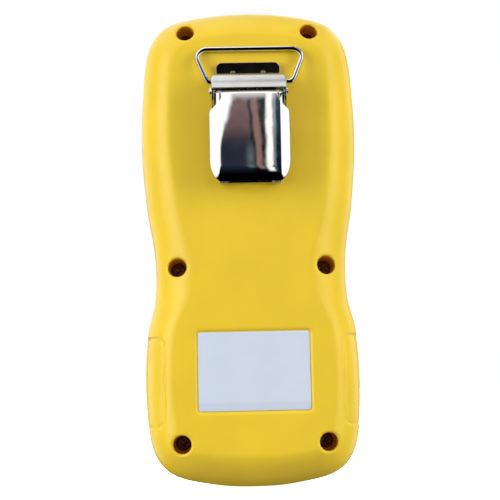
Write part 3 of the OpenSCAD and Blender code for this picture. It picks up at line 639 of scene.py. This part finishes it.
def front_shell():
    """The half with the openings for the sensors, the display, the keys, the alarm lens and the port."""
    s = Space((-REACH_X, 0, 0), (REACH_X, FRONT_Y, REACH_Z), SHELL_VOXEL)
    outside = s.inside_loft(front_rings(FRONT, OUTER, FRONT_Y, FRONT_ROUND, -2.0))
    cavity = s.inside_loft(front_rings(FRONT_INNER, INNER, FRONT_Y - WALL, FRONT_ROUND - 0.6, -2.0))
    for x, z in SCREWS:
        cavity = cut(cavity, disc(s.x - x, s.z - z, FRONT_BOSS_R) + 0 * s.y, 0.6)
    field = meet(outside, SPLIT - s.y, 0.5)
    field = cut(field, cavity)
    wall = layer(s.y, FRONT_Y - WALL - 2, FRONT_Y + 2)
    cover = rect(s.x, s.z - COVER_Z, COVER_HALF_X + 0.15, COVER_HALF_Z + 0.25, 8)
    field = cut(field, meet(cover, (FRONT_Y - 1.2) - s.y), 0.3)
    for x, z in SENSORS:
        field = cut(field, np.maximum(disc(s.x - x, s.z - z, INLET_R), wall))
    window = rect(s.x, s.z - DISPLAY_Z, WINDOW_HALF_X + 0.15, WINDOW_HALF_Z + 0.15, 2.5)
    field = cut(field, meet(window, (FRONT_Y - 1.1) - s.y), 0.3)
    field = cut(field, np.maximum(rect(s.x, s.z - DISPLAY_Z, 15.75, 11.25, 1.5), wall))
    for x, r in KEYS.values():
        field = cut(field, np.maximum(disc(s.x - x, s.z - KEY_Z, r + 0.3), wall), 0.4)
    field = cut(field, np.maximum(rect(s.x, s.z - LENS_Z, 12.1, 1.8, 0.4), 7 - s.y), 0.2)
    field = cut(field, np.maximum(rect(s.y - FLAP_Y, s.z - FLAP_Z, 3.25, 7.3, 0.4), 27.3 - s.x), 0.3)
    field = cut(field, np.maximum(rect(s.y - FLAP_Y, s.z - FLAP_Z, 2, 5, 2), 20 - s.x))
    return stand_for(s.mesh("front_case", field), "front_shell")


# ---------- the clip ----------

PIVOT = np.array([0.0, BACK_Y - 6.0, 102.6])
SHEET = 0.7
# The lever's stand-off from its pivot, how much it bulges out, and its length
FACE_OUT, BULGE, LEVER_LEN = 1.9, 0.7, 23.6
# Half widths of the lever's neck and wings, and of the flat part between its folds
NECK, WING, FOLD = 8.5, 10.4, 8.2
# Shares of the way down where the wings start, where the sides turn in, and where the lip curls
SHOULDER, TAIL, CURL = 0.15, 0.76, 0.82
SHOULDER_LEN, TAIL_LEN, TAIL_IN = 0.08, 0.25, 3.6
CURL_ANGLE = math.radians(47)
KNUCKLE_X, EAR_X = 7.5, 9.35
PIN_HOLE_R = 0.46
CLIP_SCREWS_Z = (88.0, 96.5)
BASE_LOW, BASE_HIGH, BASE_BEND = 79.4, 111.6, 108.6
BAIL_H, BAIL_HALF, WIRE = 9.9, 14.4, 1.3
BAIL_OUT, BAIL_Z = 3.2, 105.7
# The loose wire lies a little to one side
BAIL_SIDE = 0.45
BAIL_LEAN = math.asin((BAIL_OUT - WIRE / 2 - 0.12) / BAIL_H)


def lever_side():
    """The lever's outside in side view: stand-off and height from its pivot, and share of the way down."""
    side = [(FACE_OUT + BULGE * math.sin(math.pi * t / CURL), -t * LEVER_LEN, t)
            for t in np.linspace(0.03, CURL, 44)]
    radius = (1 - CURL) * LEVER_LEN / math.sin(CURL_ANGLE)
    for a in np.linspace(0.06, 1, 18) * CURL_ANGLE:
        t = CURL + radius * math.sin(a) / LEVER_LEN
        side.append((FACE_OUT - radius * (1 - math.cos(a)), -t * LEVER_LEN, t))
    side = np.array(side)
    for _ in range(4):  # softens the start of the curl
        side[30:-1] += 0.5 * ((side[29:-2] + side[31:]) / 2 - side[30:-1])
    return side


def lever_edge(t):
    """Half the lever's width at share t of the way down."""
    shoulder = min(1.0, max(0.0, (t - SHOULDER) / SHOULDER_LEN))
    shoulder = shoulder * shoulder * (3 - 2 * shoulder)
    tail = max(0.0, (t - TAIL) / TAIL_LEN)
    return NECK + (WING - NECK) * shoulder - TAIL_IN * (1 - math.sqrt(max(0.0, 1 - tail * tail)))


def wing_back(x, t):
    """How far the sheet at x is bent back towards the case, with a small radius at the fold."""
    past = 0.5 * (abs(x) - FOLD + math.hypot(abs(x) - FOLD, 0.28))
    near = min(abs(x), FOLD)
    return 0.011 * near * near + min(1.0, t * 8) * 0.75 * past


def clip_lever():
    """The curved plate with its wings and lip, and the two knuckles that hang it on the pin."""
    across = np.concatenate([np.linspace(-1, -0.86, 9), np.linspace(-0.83, -0.73, 9),
                             np.linspace(-0.68, 0.68, 27),
                             np.linspace(0.73, 0.83, 9), np.linspace(0.86, 1, 9)])
    fold_share = 0.78
    outer = []
    for out, height, t in lever_side():
        edge = lever_edge(t)
        fold = min(FOLD, edge - 0.25)
        for u in across:
            x = math.copysign(np.interp(abs(u), (0, fold_share, 1), (0, fold, edge)), u)
            outer.append((x, -out + wing_back(x, t), height))
    rows, columns = len(lever_side()), len(across)
    grid = np.array(outer).reshape(rows, columns, 3)
    normal = np.cross(np.gradient(grid, axis=0), np.gradient(grid, axis=1))
    normal /= np.linalg.norm(normal, axis=2)[:, :, None]
    inner = grid - normal * (SHEET - 0.08)
    points = np.vstack([grid.reshape(-1, 3), inner.reshape(-1, 3)]) + PIVOT
    n = rows * columns
    faces = grid_faces(rows, columns) + [f[::-1] for f in grid_faces(rows, columns, start=n)]
    border = list(range(columns)) + [(j + 1) * columns - 1 for j in range(1, rows)]
    border += [(rows - 1) * columns + i for i in range(columns - 2, -1, -1)]
    border += [j * columns for j in range(rows - 2, 0, -1)]
    faces += [[a, a + n, b + n, b] for a, b in zip(border, border[1:] + border[:1])]
    lever = new_mesh("lever_plate", to_row(points), faces)
    add_bevel(lever, 0.14, 3, 50)
    stand_for(lever, "clip_lever")
    for x in (-KNUCKLE_X, KNUCKLE_X):
        s = Space((x - 0.6, -25.2, 98.4), (x + 0.6, -21.8, 103.8), 0.09)
        y, z = s.y - PIVOT[1], s.z - PIVOT[2]
        plate = join(disc(y, z, 0.8), rect(y + 0.45, z + 2.34, 1.1, 1.66, 0.2), 0.2)
        plate = cut(plate, disc(y, z, 0.5), 0.08)
        plate = meet(plate, np.abs(s.x - x) - SHEET / 2, 0.1)
        knuckle = finish_in(s.mesh("lever_knuckle", plate), "clip_chrome")
        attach(knuckle, BODY_OF["clip_lever"])


def flat_distance(u, v, corners):
    """Signed distance in a plane to the polygon through corners."""
    near = np.full(np.broadcast(u, v).shape, 1e9)
    inside = np.zeros(near.shape, dtype=bool)
    for (ax, ay), (bx, by) in zip(corners, corners[1:] + corners[:1]):
        ex, ey = bx - ax, by - ay
        h = np.clip(((u - ax) * ex + (v - ay) * ey) / (ex * ex + ey * ey), 0, 1)
        near = np.minimum(near, np.hypot(u - ax - ex * h, v - ay - ey * h))
        if ay != by:
            inside ^= ((ay > v) != (by > v)) & (u < ax + (v - ay) * ex / ey)
    return np.where(inside, -near, near)


def clip_frame():
    """The arched bridge over the base plate, and the ears with their feet."""
    s = Space((-10, -25.3, 96.6), (10, BACK_Y, 109.2), 0.11)
    py, pz = PIVOT[1], PIVOT[2]
    curve = smooth_open([(BACK_Y - 0.2, 108.05), (BACK_Y - 3.2, 107.75), (py + 0.4, 106.7),
                         (py - 0.9, 105.15), (py - 1.6, pz + 0.3)], 8)
    band = np.full(np.broadcast(s.y, s.z).shape, 1e9)
    for (ay, az), (by, bz) in zip(curve, curve[1:]):
        ey, ez = by - ay, bz - az
        h = np.clip(((s.y - ay) * ey + (s.z - az) * ez) / (ey * ey + ez * ez), 0, 1)
        band = np.minimum(band, np.hypot(s.y - ay - ey * h, s.z - az - ez * h))
    end = (curve[-1] - curve[-2]) / np.linalg.norm(curve[-1] - curve[-2])
    past_end = (s.y - curve[-1][0]) * end[0] + (s.z - curve[-1][1]) * end[1]
    bridge = meet(band - 0.34, np.maximum(past_end, s.y - (BACK_Y - SHEET)), 0.1)
    cut_corners = 0.707 * (np.abs(s.x) + s.z - 116.25)
    bridge = meet(bridge, meet(np.abs(s.x) - 9.65, cut_corners, 0.6), 0.15)
    ear = flat_distance(s.y, s.z, [
        (BACK_Y, 97.0), (BACK_Y - 3.4, 97.6), (py - 0.9, pz - 1.6), (py - 1.3, pz + 0.7), (py - 0.9, 105.0),
        (py + 0.3, 106.4), (BACK_Y - 3.3, 107.0), (BACK_Y - 1.2, 107.1), (BACK_Y - 0.7, 106.9),
        (BACK_Y, 106.9)])
    ear = join(ear, disc(s.y - py, s.z - pz, 1.45), 0.3)
    ears = meet(ear, np.abs(np.abs(s.x) - EAR_X) - SHEET / 2, 0.12)
    foot = rect(np.abs(s.x) - 9.0, s.z - 101.2, 0.55, 4.2, 0.2)
    foot = meet(foot, layer(s.y, BACK_Y - 1.4, BACK_Y - 0.72), 0.1)
    whole = join(join(bridge, ears, 0.45), foot, 0.15)
    whole = cut(whole, disc(s.y - py, s.z - pz, PIN_HOLE_R) + 0 * s.x)
    whole = cut(whole, disc(s.y - (BACK_Y - BAIL_OUT), s.z - BAIL_Z, WIRE / 2 + 0.05) + 0 * s.x, 0.08)
    return stand_for(s.mesh("clip_bridge", whole), "clip_frame",
                     metal("satin_steel", (0.68, 0.68, 0.67), (0.2, 0.26), (1, 1, 10), 0.5, 0.00015))


def clip_base():
    """The flat base plate: its tab leans out a little, and small teeth stand at its lower corners."""
    middle, half = (BASE_LOW + BASE_HIGH) / 2, (BASE_HIGH - BASE_LOW) / 2
    s = Space((-8.6, BACK_Y - 1.8, BASE_LOW), (8.6, BACK_Y, BASE_HIGH), 0.12)
    lean = 0.35 * np.maximum(s.z - BASE_BEND, 0) / (BASE_HIGH - BASE_BEND)
    slab = np.maximum(BACK_Y - SHEET - lean - s.y, s.y - BACK_Y + lean)
    plate = meet(rect(s.x, s.z - middle, 8.5, half, 1.6) + 0 * s.y, slab, 0.16)
    for k in range(3):
        tooth = rect(np.abs(s.x) - 6.2 - 0.8 * k, s.z - BASE_LOW - 0.6, 0.24, 0.9, 0.12)
        plate = join(plate, meet(tooth, layer(s.y, BACK_Y - 1.75, BACK_Y - 0.2), 0.15), 0.12)
    plate = cut(plate, rect(np.abs(s.x) - 4, s.z - BASE_BEND - 0.1, 0.45, 0.5, 0.15) + 0 * s.y, 0.1)
    for z in CLIP_SCREWS_Z:
        cone = disc(s.x, s.z - z, 2.4) + np.maximum(s.y - (BACK_Y - SHEET), 0) * 1.3
        plate = cut(plate, cone)
    return stand_for(s.mesh("base_plate", plate), "clip_base", plate_painted_dark_face())


def bail_path():
    """The wire's centre line from hook to hook, in the case frame."""
    corner, top = 2.6, BAIL_HALF - WIRE / 2
    half = [(0, BAIL_H), (4, BAIL_H), (8, BAIL_H)]
    half += [(top - corner + corner * math.cos(a), BAIL_H - corner + corner * math.sin(a))
             for a in np.radians([90, 67.5, 45, 22.5, 0])]
    half += [(top - 0.2, BAIL_H - 3.6), (top - 1.1, BAIL_H - 6), (11.9, 2.0), (11.5, 1.05), (10.95, 0.3),
             (10.2, 0), (9.4, 0), (8.4, 0)]
    fine = smooth_open(half, 6)
    whole = np.vstack([fine[::-1] * [-1, 1], fine[1:]])
    y = whole[:, 1] * math.sin(BAIL_LEAN)
    z = whole[:, 1] * math.cos(BAIL_LEAN)
    return np.stack([whole[:, 0] + BAIL_SIDE, BACK_Y - BAIL_OUT + y, BAIL_Z + z], axis=1)


def clip_bail():
    """The wire loop for webbing."""
    return stand_for(tube("wire_bail", bail_path(), WIRE / 2, 32), "clip_bail", wire_painted_reflection())


# ---------- small pieces ----------


def screw_shank(x, z, radius, sides=24):
    """A shank from the screw's seat to its blunt tip."""
    profile = [(0.0, SCREW_SEAT_Y), (radius, SCREW_SEAT_Y), (radius, SCREW_TIP_Y - 0.4),
               (radius * 0.5, SCREW_TIP_Y), (0.0, SCREW_TIP_Y)]
    points = [(x + r * math.sin(a), y, z + r * math.cos(a))
              for a in np.arange(sides) * 2 * math.pi / sides for r, y in profile]
    n = len(profile)
    faces = [[j * n + i, j * n + (i + 1) % n, (j + 1) % sides * n + (i + 1) % n, (j + 1) % sides * n + i]
             for j in range(sides) for i in range(n)]
    return new_mesh("screw_shank", to_row(points), faces, smooth=False)


def screw_head(x, z, radius, height):
    """A pan head with a cross recess, out towards -Y, each turned its own way."""
    s = Space((-radius, -0.6, -radius), (radius, height, radius), 0.12)
    drop = radius * 1.35
    dome = np.sqrt(s.x**2 + s.z**2 + (s.y + drop) ** 2) - (height + drop)
    head = meet(meet(disc(s.x, s.z, radius) + 0 * s.y, dome, 0.5), -s.y, 0.2)
    arm, thin = radius * 0.52, radius * 0.13
    arms = np.minimum(np.maximum(np.abs(s.x) - arm, np.abs(s.z) - thin),
                      np.maximum(np.abs(s.z) - arm, np.abs(s.x) - thin))
    recess_floor = height * 0.35 + np.abs(s.x) * 0.25 + np.abs(s.z) * 0.25
    head = cut(head, np.maximum(arms, recess_floor - s.y), 0.12)
    obj = s.mesh("screw_head", head)
    turn = Matrix.Rotation(math.radians(17 * (x + z)), 4, "Y")
    flip = Matrix.Scale(-1, 4, Vector((0, 1, 0)))
    home = Matrix.Translation(Vector(to_row((0, 0, 0))))
    place = Matrix.Translation(Vector(to_row((x, SCREW_SEAT_Y, z))))
    obj.data.transform(place @ flip @ turn @ home.inverted())
    obj.data.flip_normals()
    return obj


def case_screws():
    """The six screws at the bottom of their bores, as one piece."""
    node = "case_screws"
    pieces = []
    for x, z in SCREWS:
        pieces += [screw_head(x, z, SCREW_HEAD_R, SCREW_HEAD_H), screw_shank(x, z, SCREW_SHANK_R)]
    for obj in pieces:
        obj.data.materials.append(MATERIALS[SLOT_OF[node]])
    return stand_for(join_objects(pieces, node + "_pieces"), node)


def label():
    """The blank label, sunk in its recess."""
    s = Space((-14.6, BACK_Y, LABEL_Z - 10.3), (14.6, BACK_Y + 0.6, LABEL_Z + 10.3), 0.2)
    plate = rect(s.x, s.z - LABEL_Z, LABEL_HALF_X, LABEL_HALF_Z, 0.7)
    plate = meet(plate, layer(s.y, BACK_Y + 0.25, BACK_Y + 0.5), 0.08)
    return stand_for(s.mesh("blank_label", plate), "rating_label")


def key_mark(node, x, z, away):
    """A power sign for the middle key, and an arrow up or down for the others."""
    if node == "key_power":
        return np.minimum(np.maximum(np.abs(away - 2.6) - 0.3, z - 1.4),
                          np.maximum(np.abs(x) - 0.3, np.abs(z - 2.2) - 1.6))
    rise = 1 if node == "key_left" else -1
    return np.maximum(np.abs(np.abs(x) * 0.8 + rise * z - 0.4) - 0.35, np.abs(x) - 2.0)


def keys():
    """Domed caps with a flange behind the wall, a stem to the switch and a sunk mark."""
    for node, (x, r) in KEYS.items():
        s = Space((x - r - 1.2, 8, KEY_Z - r - 1.2), (x + r + 1.2, 15.2, KEY_Z + r + 1.2), 0.18)
        across = np.hypot(s.x - x, s.z - KEY_Z)
        top = KEY_TOP_Y - 0.35 * (across / r) ** 2
        cap = meet(across - r + 0 * s.y, s.y - top, 0.9)
        cap = meet(cap, FLANGE_TOP_Y - s.y)
        cap = join(cap, meet(across - r - 1 + 0 * s.y, layer(s.y, FLANGE_LOW_Y, FLANGE_TOP_Y), 0.2))
        cap = join(cap, np.maximum(across - 1.5, layer(s.y, STEM_LOW_Y, 12)))
        mark = key_mark(node, s.x - x, s.z - KEY_Z, across)
        cap = cut(cap, np.maximum(mark + 0 * s.y, (top - 0.25) - s.y), 0.1)
        stand_for(s.mesh(node + "_cap", cap), node)


def sensor_cover():
    """The cover over the sensors, with barred ports, sound slots and two screw holes."""
    s = Space((-22, 12.8, COVER_Z - 24), (22, 14.6, COVER_Z + 24), 0.24)
    plate = meet(rect(s.x, s.z - COVER_Z, COVER_HALF_X, COVER_HALF_Z, 7.9), layer(s.y, 13.15, 14.4), 0.5)
    for x, z in SENSORS:
        port = disc(s.x - x, s.z - z, PORT_R) + 0 * s.y
        bars = np.minimum.reduce([np.abs(s.x - x - 2.8 * k) - 0.45 for k in range(-2, 3)])
        bars = np.minimum(bars + 0 * s.z, np.abs(s.z - z) - 0.45)
        port = cut(port, np.maximum(bars, s.y - 14.2), 0.15)
        plate = cut(plate, port, 0.3)
    for k in (-1, 0, 1):
        plate = cut(plate, rect(s.x, s.z - COVER_Z - 1.8 * k, 2.2, 0.4, 0.39) + 0 * s.y, 0.2)
    for x in (-COVER_SCREW_X, COVER_SCREW_X):
        plate = cut(plate, np.maximum(disc(s.x - x, s.z - COVER_Z, 1.9), 13.8 - s.y), 0.2)
        plate = cut(plate, disc(s.x - x, s.z - COVER_Z, 1.0) + 0 * s.y)
    return stand_for(s.mesh("inlet_cover", plate), "sensor_cover")


def display_window():
    """A dark window whose reading area is sunk a little. The display is off and shows nothing."""
    s = Space((-19.5, 12.6, DISPLAY_Z - 14.5), (19.5, 14.2, DISPLAY_Z + 14.5), 0.2)
    plate = rect(s.x, s.z - DISPLAY_Z, WINDOW_HALF_X, WINDOW_HALF_Z, 2.35)
    plate = meet(plate, layer(s.y, 12.9, 13.9), 0.25)
    plate = cut(plate, np.maximum(rect(s.x, s.z - DISPLAY_Z, 13.6, 9.8, 0.8), 13.55 - s.y), 0.1)
    return stand_for(s.mesh("window_frame", plate), "display_window")


# ---------- assembling ----------


def build():
    """Makes the pieces and gives every CAD node its finish."""
    back_shell()
    front_shell()
    clip_lever()
    clip_frame()
    clip_base()
    clip_bail()
    case_screws()
    label()
    keys()
    sensor_cover()
    display_window()
    for node, obj in NODES.items():
        obj.data.materials.clear()
        obj.data.materials.append(MATERIALS[SLOT_OF[node]])


build()

# ---------- studio ----------

CASE_MIDDLE = (0, 0, -0.03)


def floor():
    """A plain pale floor under the lowest point, far wider than the view."""
    low = CAD_BOX[0][2]
    size = 6.0
    points = [(-size, -size, low), (size, -size, low), (size, size, low), (-size, size, low)]
    obj = new_mesh("floor", points, [[0, 1, 2, 3]], smooth=False)
    s = Shader("floor_white", Roughness=0.9, Specular_IOR_Level=0.1, Emission_Color=(1, 1, 1, 1),
               Emission_Strength=0.9)
    s.colour(s.noise(300, 2), (0.93, 0.93, 0.93), (0.95, 0.95, 0.95))
    obj.data.materials.append(s.material)
    obj.visible_glossy = False
    obj.visible_diffuse = False


def softbox(name, place, width, height, watts):
    """An area light at place, in metres of the row frame, facing the middle of the case."""
    light = bpy.data.lights.new(name, "AREA")
    light.shape = "RECTANGLE"
    light.size, light.size_y = width, height
    light.energy = watts
    obj = bpy.data.objects.new(name, light)
    obj.location = place
    obj.rotation_euler = (Vector(CASE_MIDDLE) - Vector(place)).to_track_quat("-Z", "Y").to_euler()
    obj.visible_glossy = False
    bpy.context.scene.collection.objects.link(obj)
    return obj


# What bright metal sees in front of it: a warm dark room with a dark gap, by how far across
ROOM = [
    (-1.0, (0.13, 0.085, 0.09)), (-0.3, (0.13, 0.085, 0.09)), (-0.05, (0.17, 0.105, 0.11)),
    (0.065, (0.17, 0.12, 0.12)), (0.08, (0.025, 0.027, 0.04)), (0.11, (0.03, 0.03, 0.045)),
    (0.125, (0.1, 0.06, 0.06)), (0.19, (0.1, 0.06, 0.06)), (0.21, (0.02, 0.026, 0.03)),
    (0.3, (0.03, 0.035, 0.04)), (0.36, (0.25, 0.29, 0.34)), (0.385, (0.03, 0.045, 0.07)),
    (0.47, (0.02, 0.04, 0.07)), (1.0, (0.02, 0.04, 0.07)),
]
# The room's colour from straight below to overhead
ROOM_LIGHT = [
    (-1.0, (0.0, 0.0, 0.01)), (-0.7, (0.0, 0.0, 0.01)), (-0.45, (0.02, 0.06, 0.1)),
    (-0.1, (0.08, 0.18, 0.3)), (0.04, (0.15, 0.26, 0.38)), (0.1, (0.32, 0.36, 0.42)),
    (0.22, (0.85, 0.85, 0.85)), (0.42, (1, 1, 1)), (1.0, (1, 1, 1)),
]
# White panels, a warm sleeve and grey cloths in the room: colour, how far they slant, where they are
# across, and how bright they are from below to overhead
PANELS = [
    ((1, 1, 1), -0.5, [(-0.385, 1.0), (-0.34, 0.0)], [(-0.62, 0.0), (-0.5, 1.0)]),
    ((1, 0.99, 0.96), 0.03, [(0.24, 0.0), (0.265, 1.0), (0.32, 1.0), (0.34, 0.0)],
     [(-0.55, 0.0), (-0.4, 1.0)]),
    ((1, 1, 1), 0.0, [(0.58, 0.0), (0.66, 1.0)], [(-0.7, 0.0), (-0.55, 1.0)]),
    ((0.26, 0.145, 0.125), 0.15, [(0.115, 0.0), (0.135, 1.0), (0.19, 1.0), (0.215, 0.0)],
     [(-0.4, 0.0), (-0.2, 1.0)]),
    ((0.1, 0.14, 0.155), 0.1, [(-0.02, 0.0), (0.04, 1.0), (0.07, 1.0), (0.13, 0.0)],
     [(-0.3, 0.0), (-0.12, 1.0), (-0.04, 1.0), (0.12, 0.0)]),
    ((0.24, 0.28, 0.31), 0.03, [(0.3, 0.0), (0.33, 1.0), (0.37, 1.0), (0.385, 0.0)],
     [(-0.3, 0.0), (0.0, 0.6), (0.3, 1.0)]),
]
# A bright ceiling, by height
CEILING = [(0.43, 0.0), (0.465, 1.0), (0.7, 1.0), (0.8, 0.12), (1.0, 0.2)]
# How much of the room shows, from the viewer's side to behind the case, and by height over that
BEHIND = [(-0.14, 1.0), (-0.06, 0.03), (0.36, 0.03), (0.52, 1.0)]
OVER_BEHIND = [(0.5, 0.0), (0.7, 1.0)]
# The soft light on matt surfaces, from below to overhead
DOME = [(-1.0, 0.7), (-0.3, 0.18), (0.1, 0.66), (1.0, 0.64)]
SHINE = 1.2


def world():
    """White to the camera and a soft dome to matt surfaces; shiny ones see the room."""
    made = bpy.data.worlds.new("studio")
    bpy.context.scene.world = made
    made.use_nodes = True
    tree = made.node_tree
    tree.nodes.clear()
    new, link = tree.nodes.new, tree.links.new

    def ramp(value, stops):
        remap = new("ShaderNodeMapRange")
        remap.inputs["From Min"].default_value = -1
        remap.inputs["From Max"].default_value = 1
        link(value, remap.inputs["Value"])
        made_ramp = new("ShaderNodeValToRGB")
        elements = made_ramp.color_ramp.elements
        while len(elements) < len(stops):
            elements.new(0.5)
        for element, (place, colour) in zip(elements, stops):
            element.position = (place + 1) / 2
            element.color = (*colour, 1) if isinstance(colour, tuple) else (colour, colour, colour, 1)
        link(remap.outputs["Result"], made_ramp.inputs["Fac"])
        return made_ramp.outputs["Color"]

    def mix(kind, fac, a, b):
        node = new("ShaderNodeMix")
        node.data_type = "RGBA"
        node.blend_type = kind
        for socket, value in ((node.inputs[0], fac), (node.inputs[6], a), (node.inputs[7], b)):
            if isinstance(value, (float, tuple)):
                socket.default_value = value
            else:
                link(value, socket)
        return node.outputs[2]

    def background(colour, strength):
        node = new("ShaderNodeBackground")
        node.inputs["Strength"].default_value = strength
        if isinstance(colour, tuple):
            node.inputs["Color"].default_value = colour
        else:
            link(colour, node.inputs["Color"])
        return node.outputs["Background"]

    def shifted(value, factor, add):
        node = new("ShaderNodeMath")
        node.operation = "MULTIPLY_ADD"
        node.inputs[1].default_value = factor
        link(value, node.inputs[0])
        link(add, node.inputs[2])
        return node.outputs["Value"]

    coords = new("ShaderNodeTexCoord")
    split = new("ShaderNodeSeparateXYZ")
    link(coords.outputs["Generated"], split.inputs["Vector"])
    across, up = split.outputs["X"], split.outputs["Z"]
    noise = new("ShaderNodeTexNoise")
    noise.inputs["Scale"].default_value = 9.0
    noise.inputs["Detail"].default_value = 6.0
    link(coords.outputs["Generated"], noise.inputs["Vector"])
    ragged = shifted(noise.outputs["Fac"], 0.06, across)
    lit = mix("MULTIPLY", 1.0, ramp(shifted(up, 0.1, ragged), ROOM), ramp(up, ROOM_LIGHT))
    for colour, slant, place, foot in PANELS:
        panel = mix("MULTIPLY", 1.0, ramp(shifted(up, slant, ragged), place), ramp(up, foot))
        lit = mix("LIGHTEN", 1.0, lit, mix("MULTIPLY", 1.0, panel, (*colour, 1.0)))
    lit = mix("LIGHTEN", 1.0, lit, ramp(up, CEILING))
    shown = mix("LIGHTEN", 1.0, ramp(split.outputs["Y"], BEHIND), ramp(up, OVER_BEHIND))
    lit = mix("MULTIPLY", 1.0, lit, shown)

    path = new("ShaderNodeLightPath")
    shiny = new("ShaderNodeMixShader")
    link(path.outputs["Is Glossy Ray"], shiny.inputs["Fac"])
    link(background(ramp(up, DOME), 1.0), shiny.inputs[1])
    link(background(lit, SHINE), shiny.inputs[2])
    seen = new("ShaderNodeMixShader")
    link(path.outputs["Is Camera Ray"], seen.inputs["Fac"])
    link(shiny.outputs["Shader"], seen.inputs[1])
    link(background((1, 1, 1, 1), 1.0), seen.inputs[2])
    out = new("ShaderNodeOutputWorld")
    link(seen.outputs["Shader"], out.inputs["Surface"])


def camera():
    """In front of the lower half of the back, a little to the left, 300 mm away."""
    data = bpy.data.cameras.new("camera")
    data.lens = 83.7
    data.sensor_width = 36.0
    data.clip_start = 0.01
    obj = bpy.data.objects.new("camera", data)
    place = Vector(to_row((-7.85, BACK_Y - 300.0, 26.8)))
    target = Vector(to_row((-0.45, BACK_Y, 61.8)))
    look = (target - place).to_track_quat("-Z", "Y").to_matrix().to_4x4()
    lean = Matrix.Rotation(math.radians(-1.24), 4, "Z")
    obj.matrix_world = Matrix.Translation(place) @ look @ lean
    bpy.context.scene.collection.objects.link(obj)
    bpy.context.scene.camera = obj


floor()
world()
softbox("left_box", (-0.9, -0.42, 0.08), 0.5, 0.9, 10.4)
softbox("right_box", (0.9, -0.42, 0.08), 0.5, 0.9, 10.2)
softbox("display_box", (0.25, 0.9, 0.35), 0.8, 0.8, 9.0)
camera()
bpy.context.scene.view_settings.view_transform = "Standard"
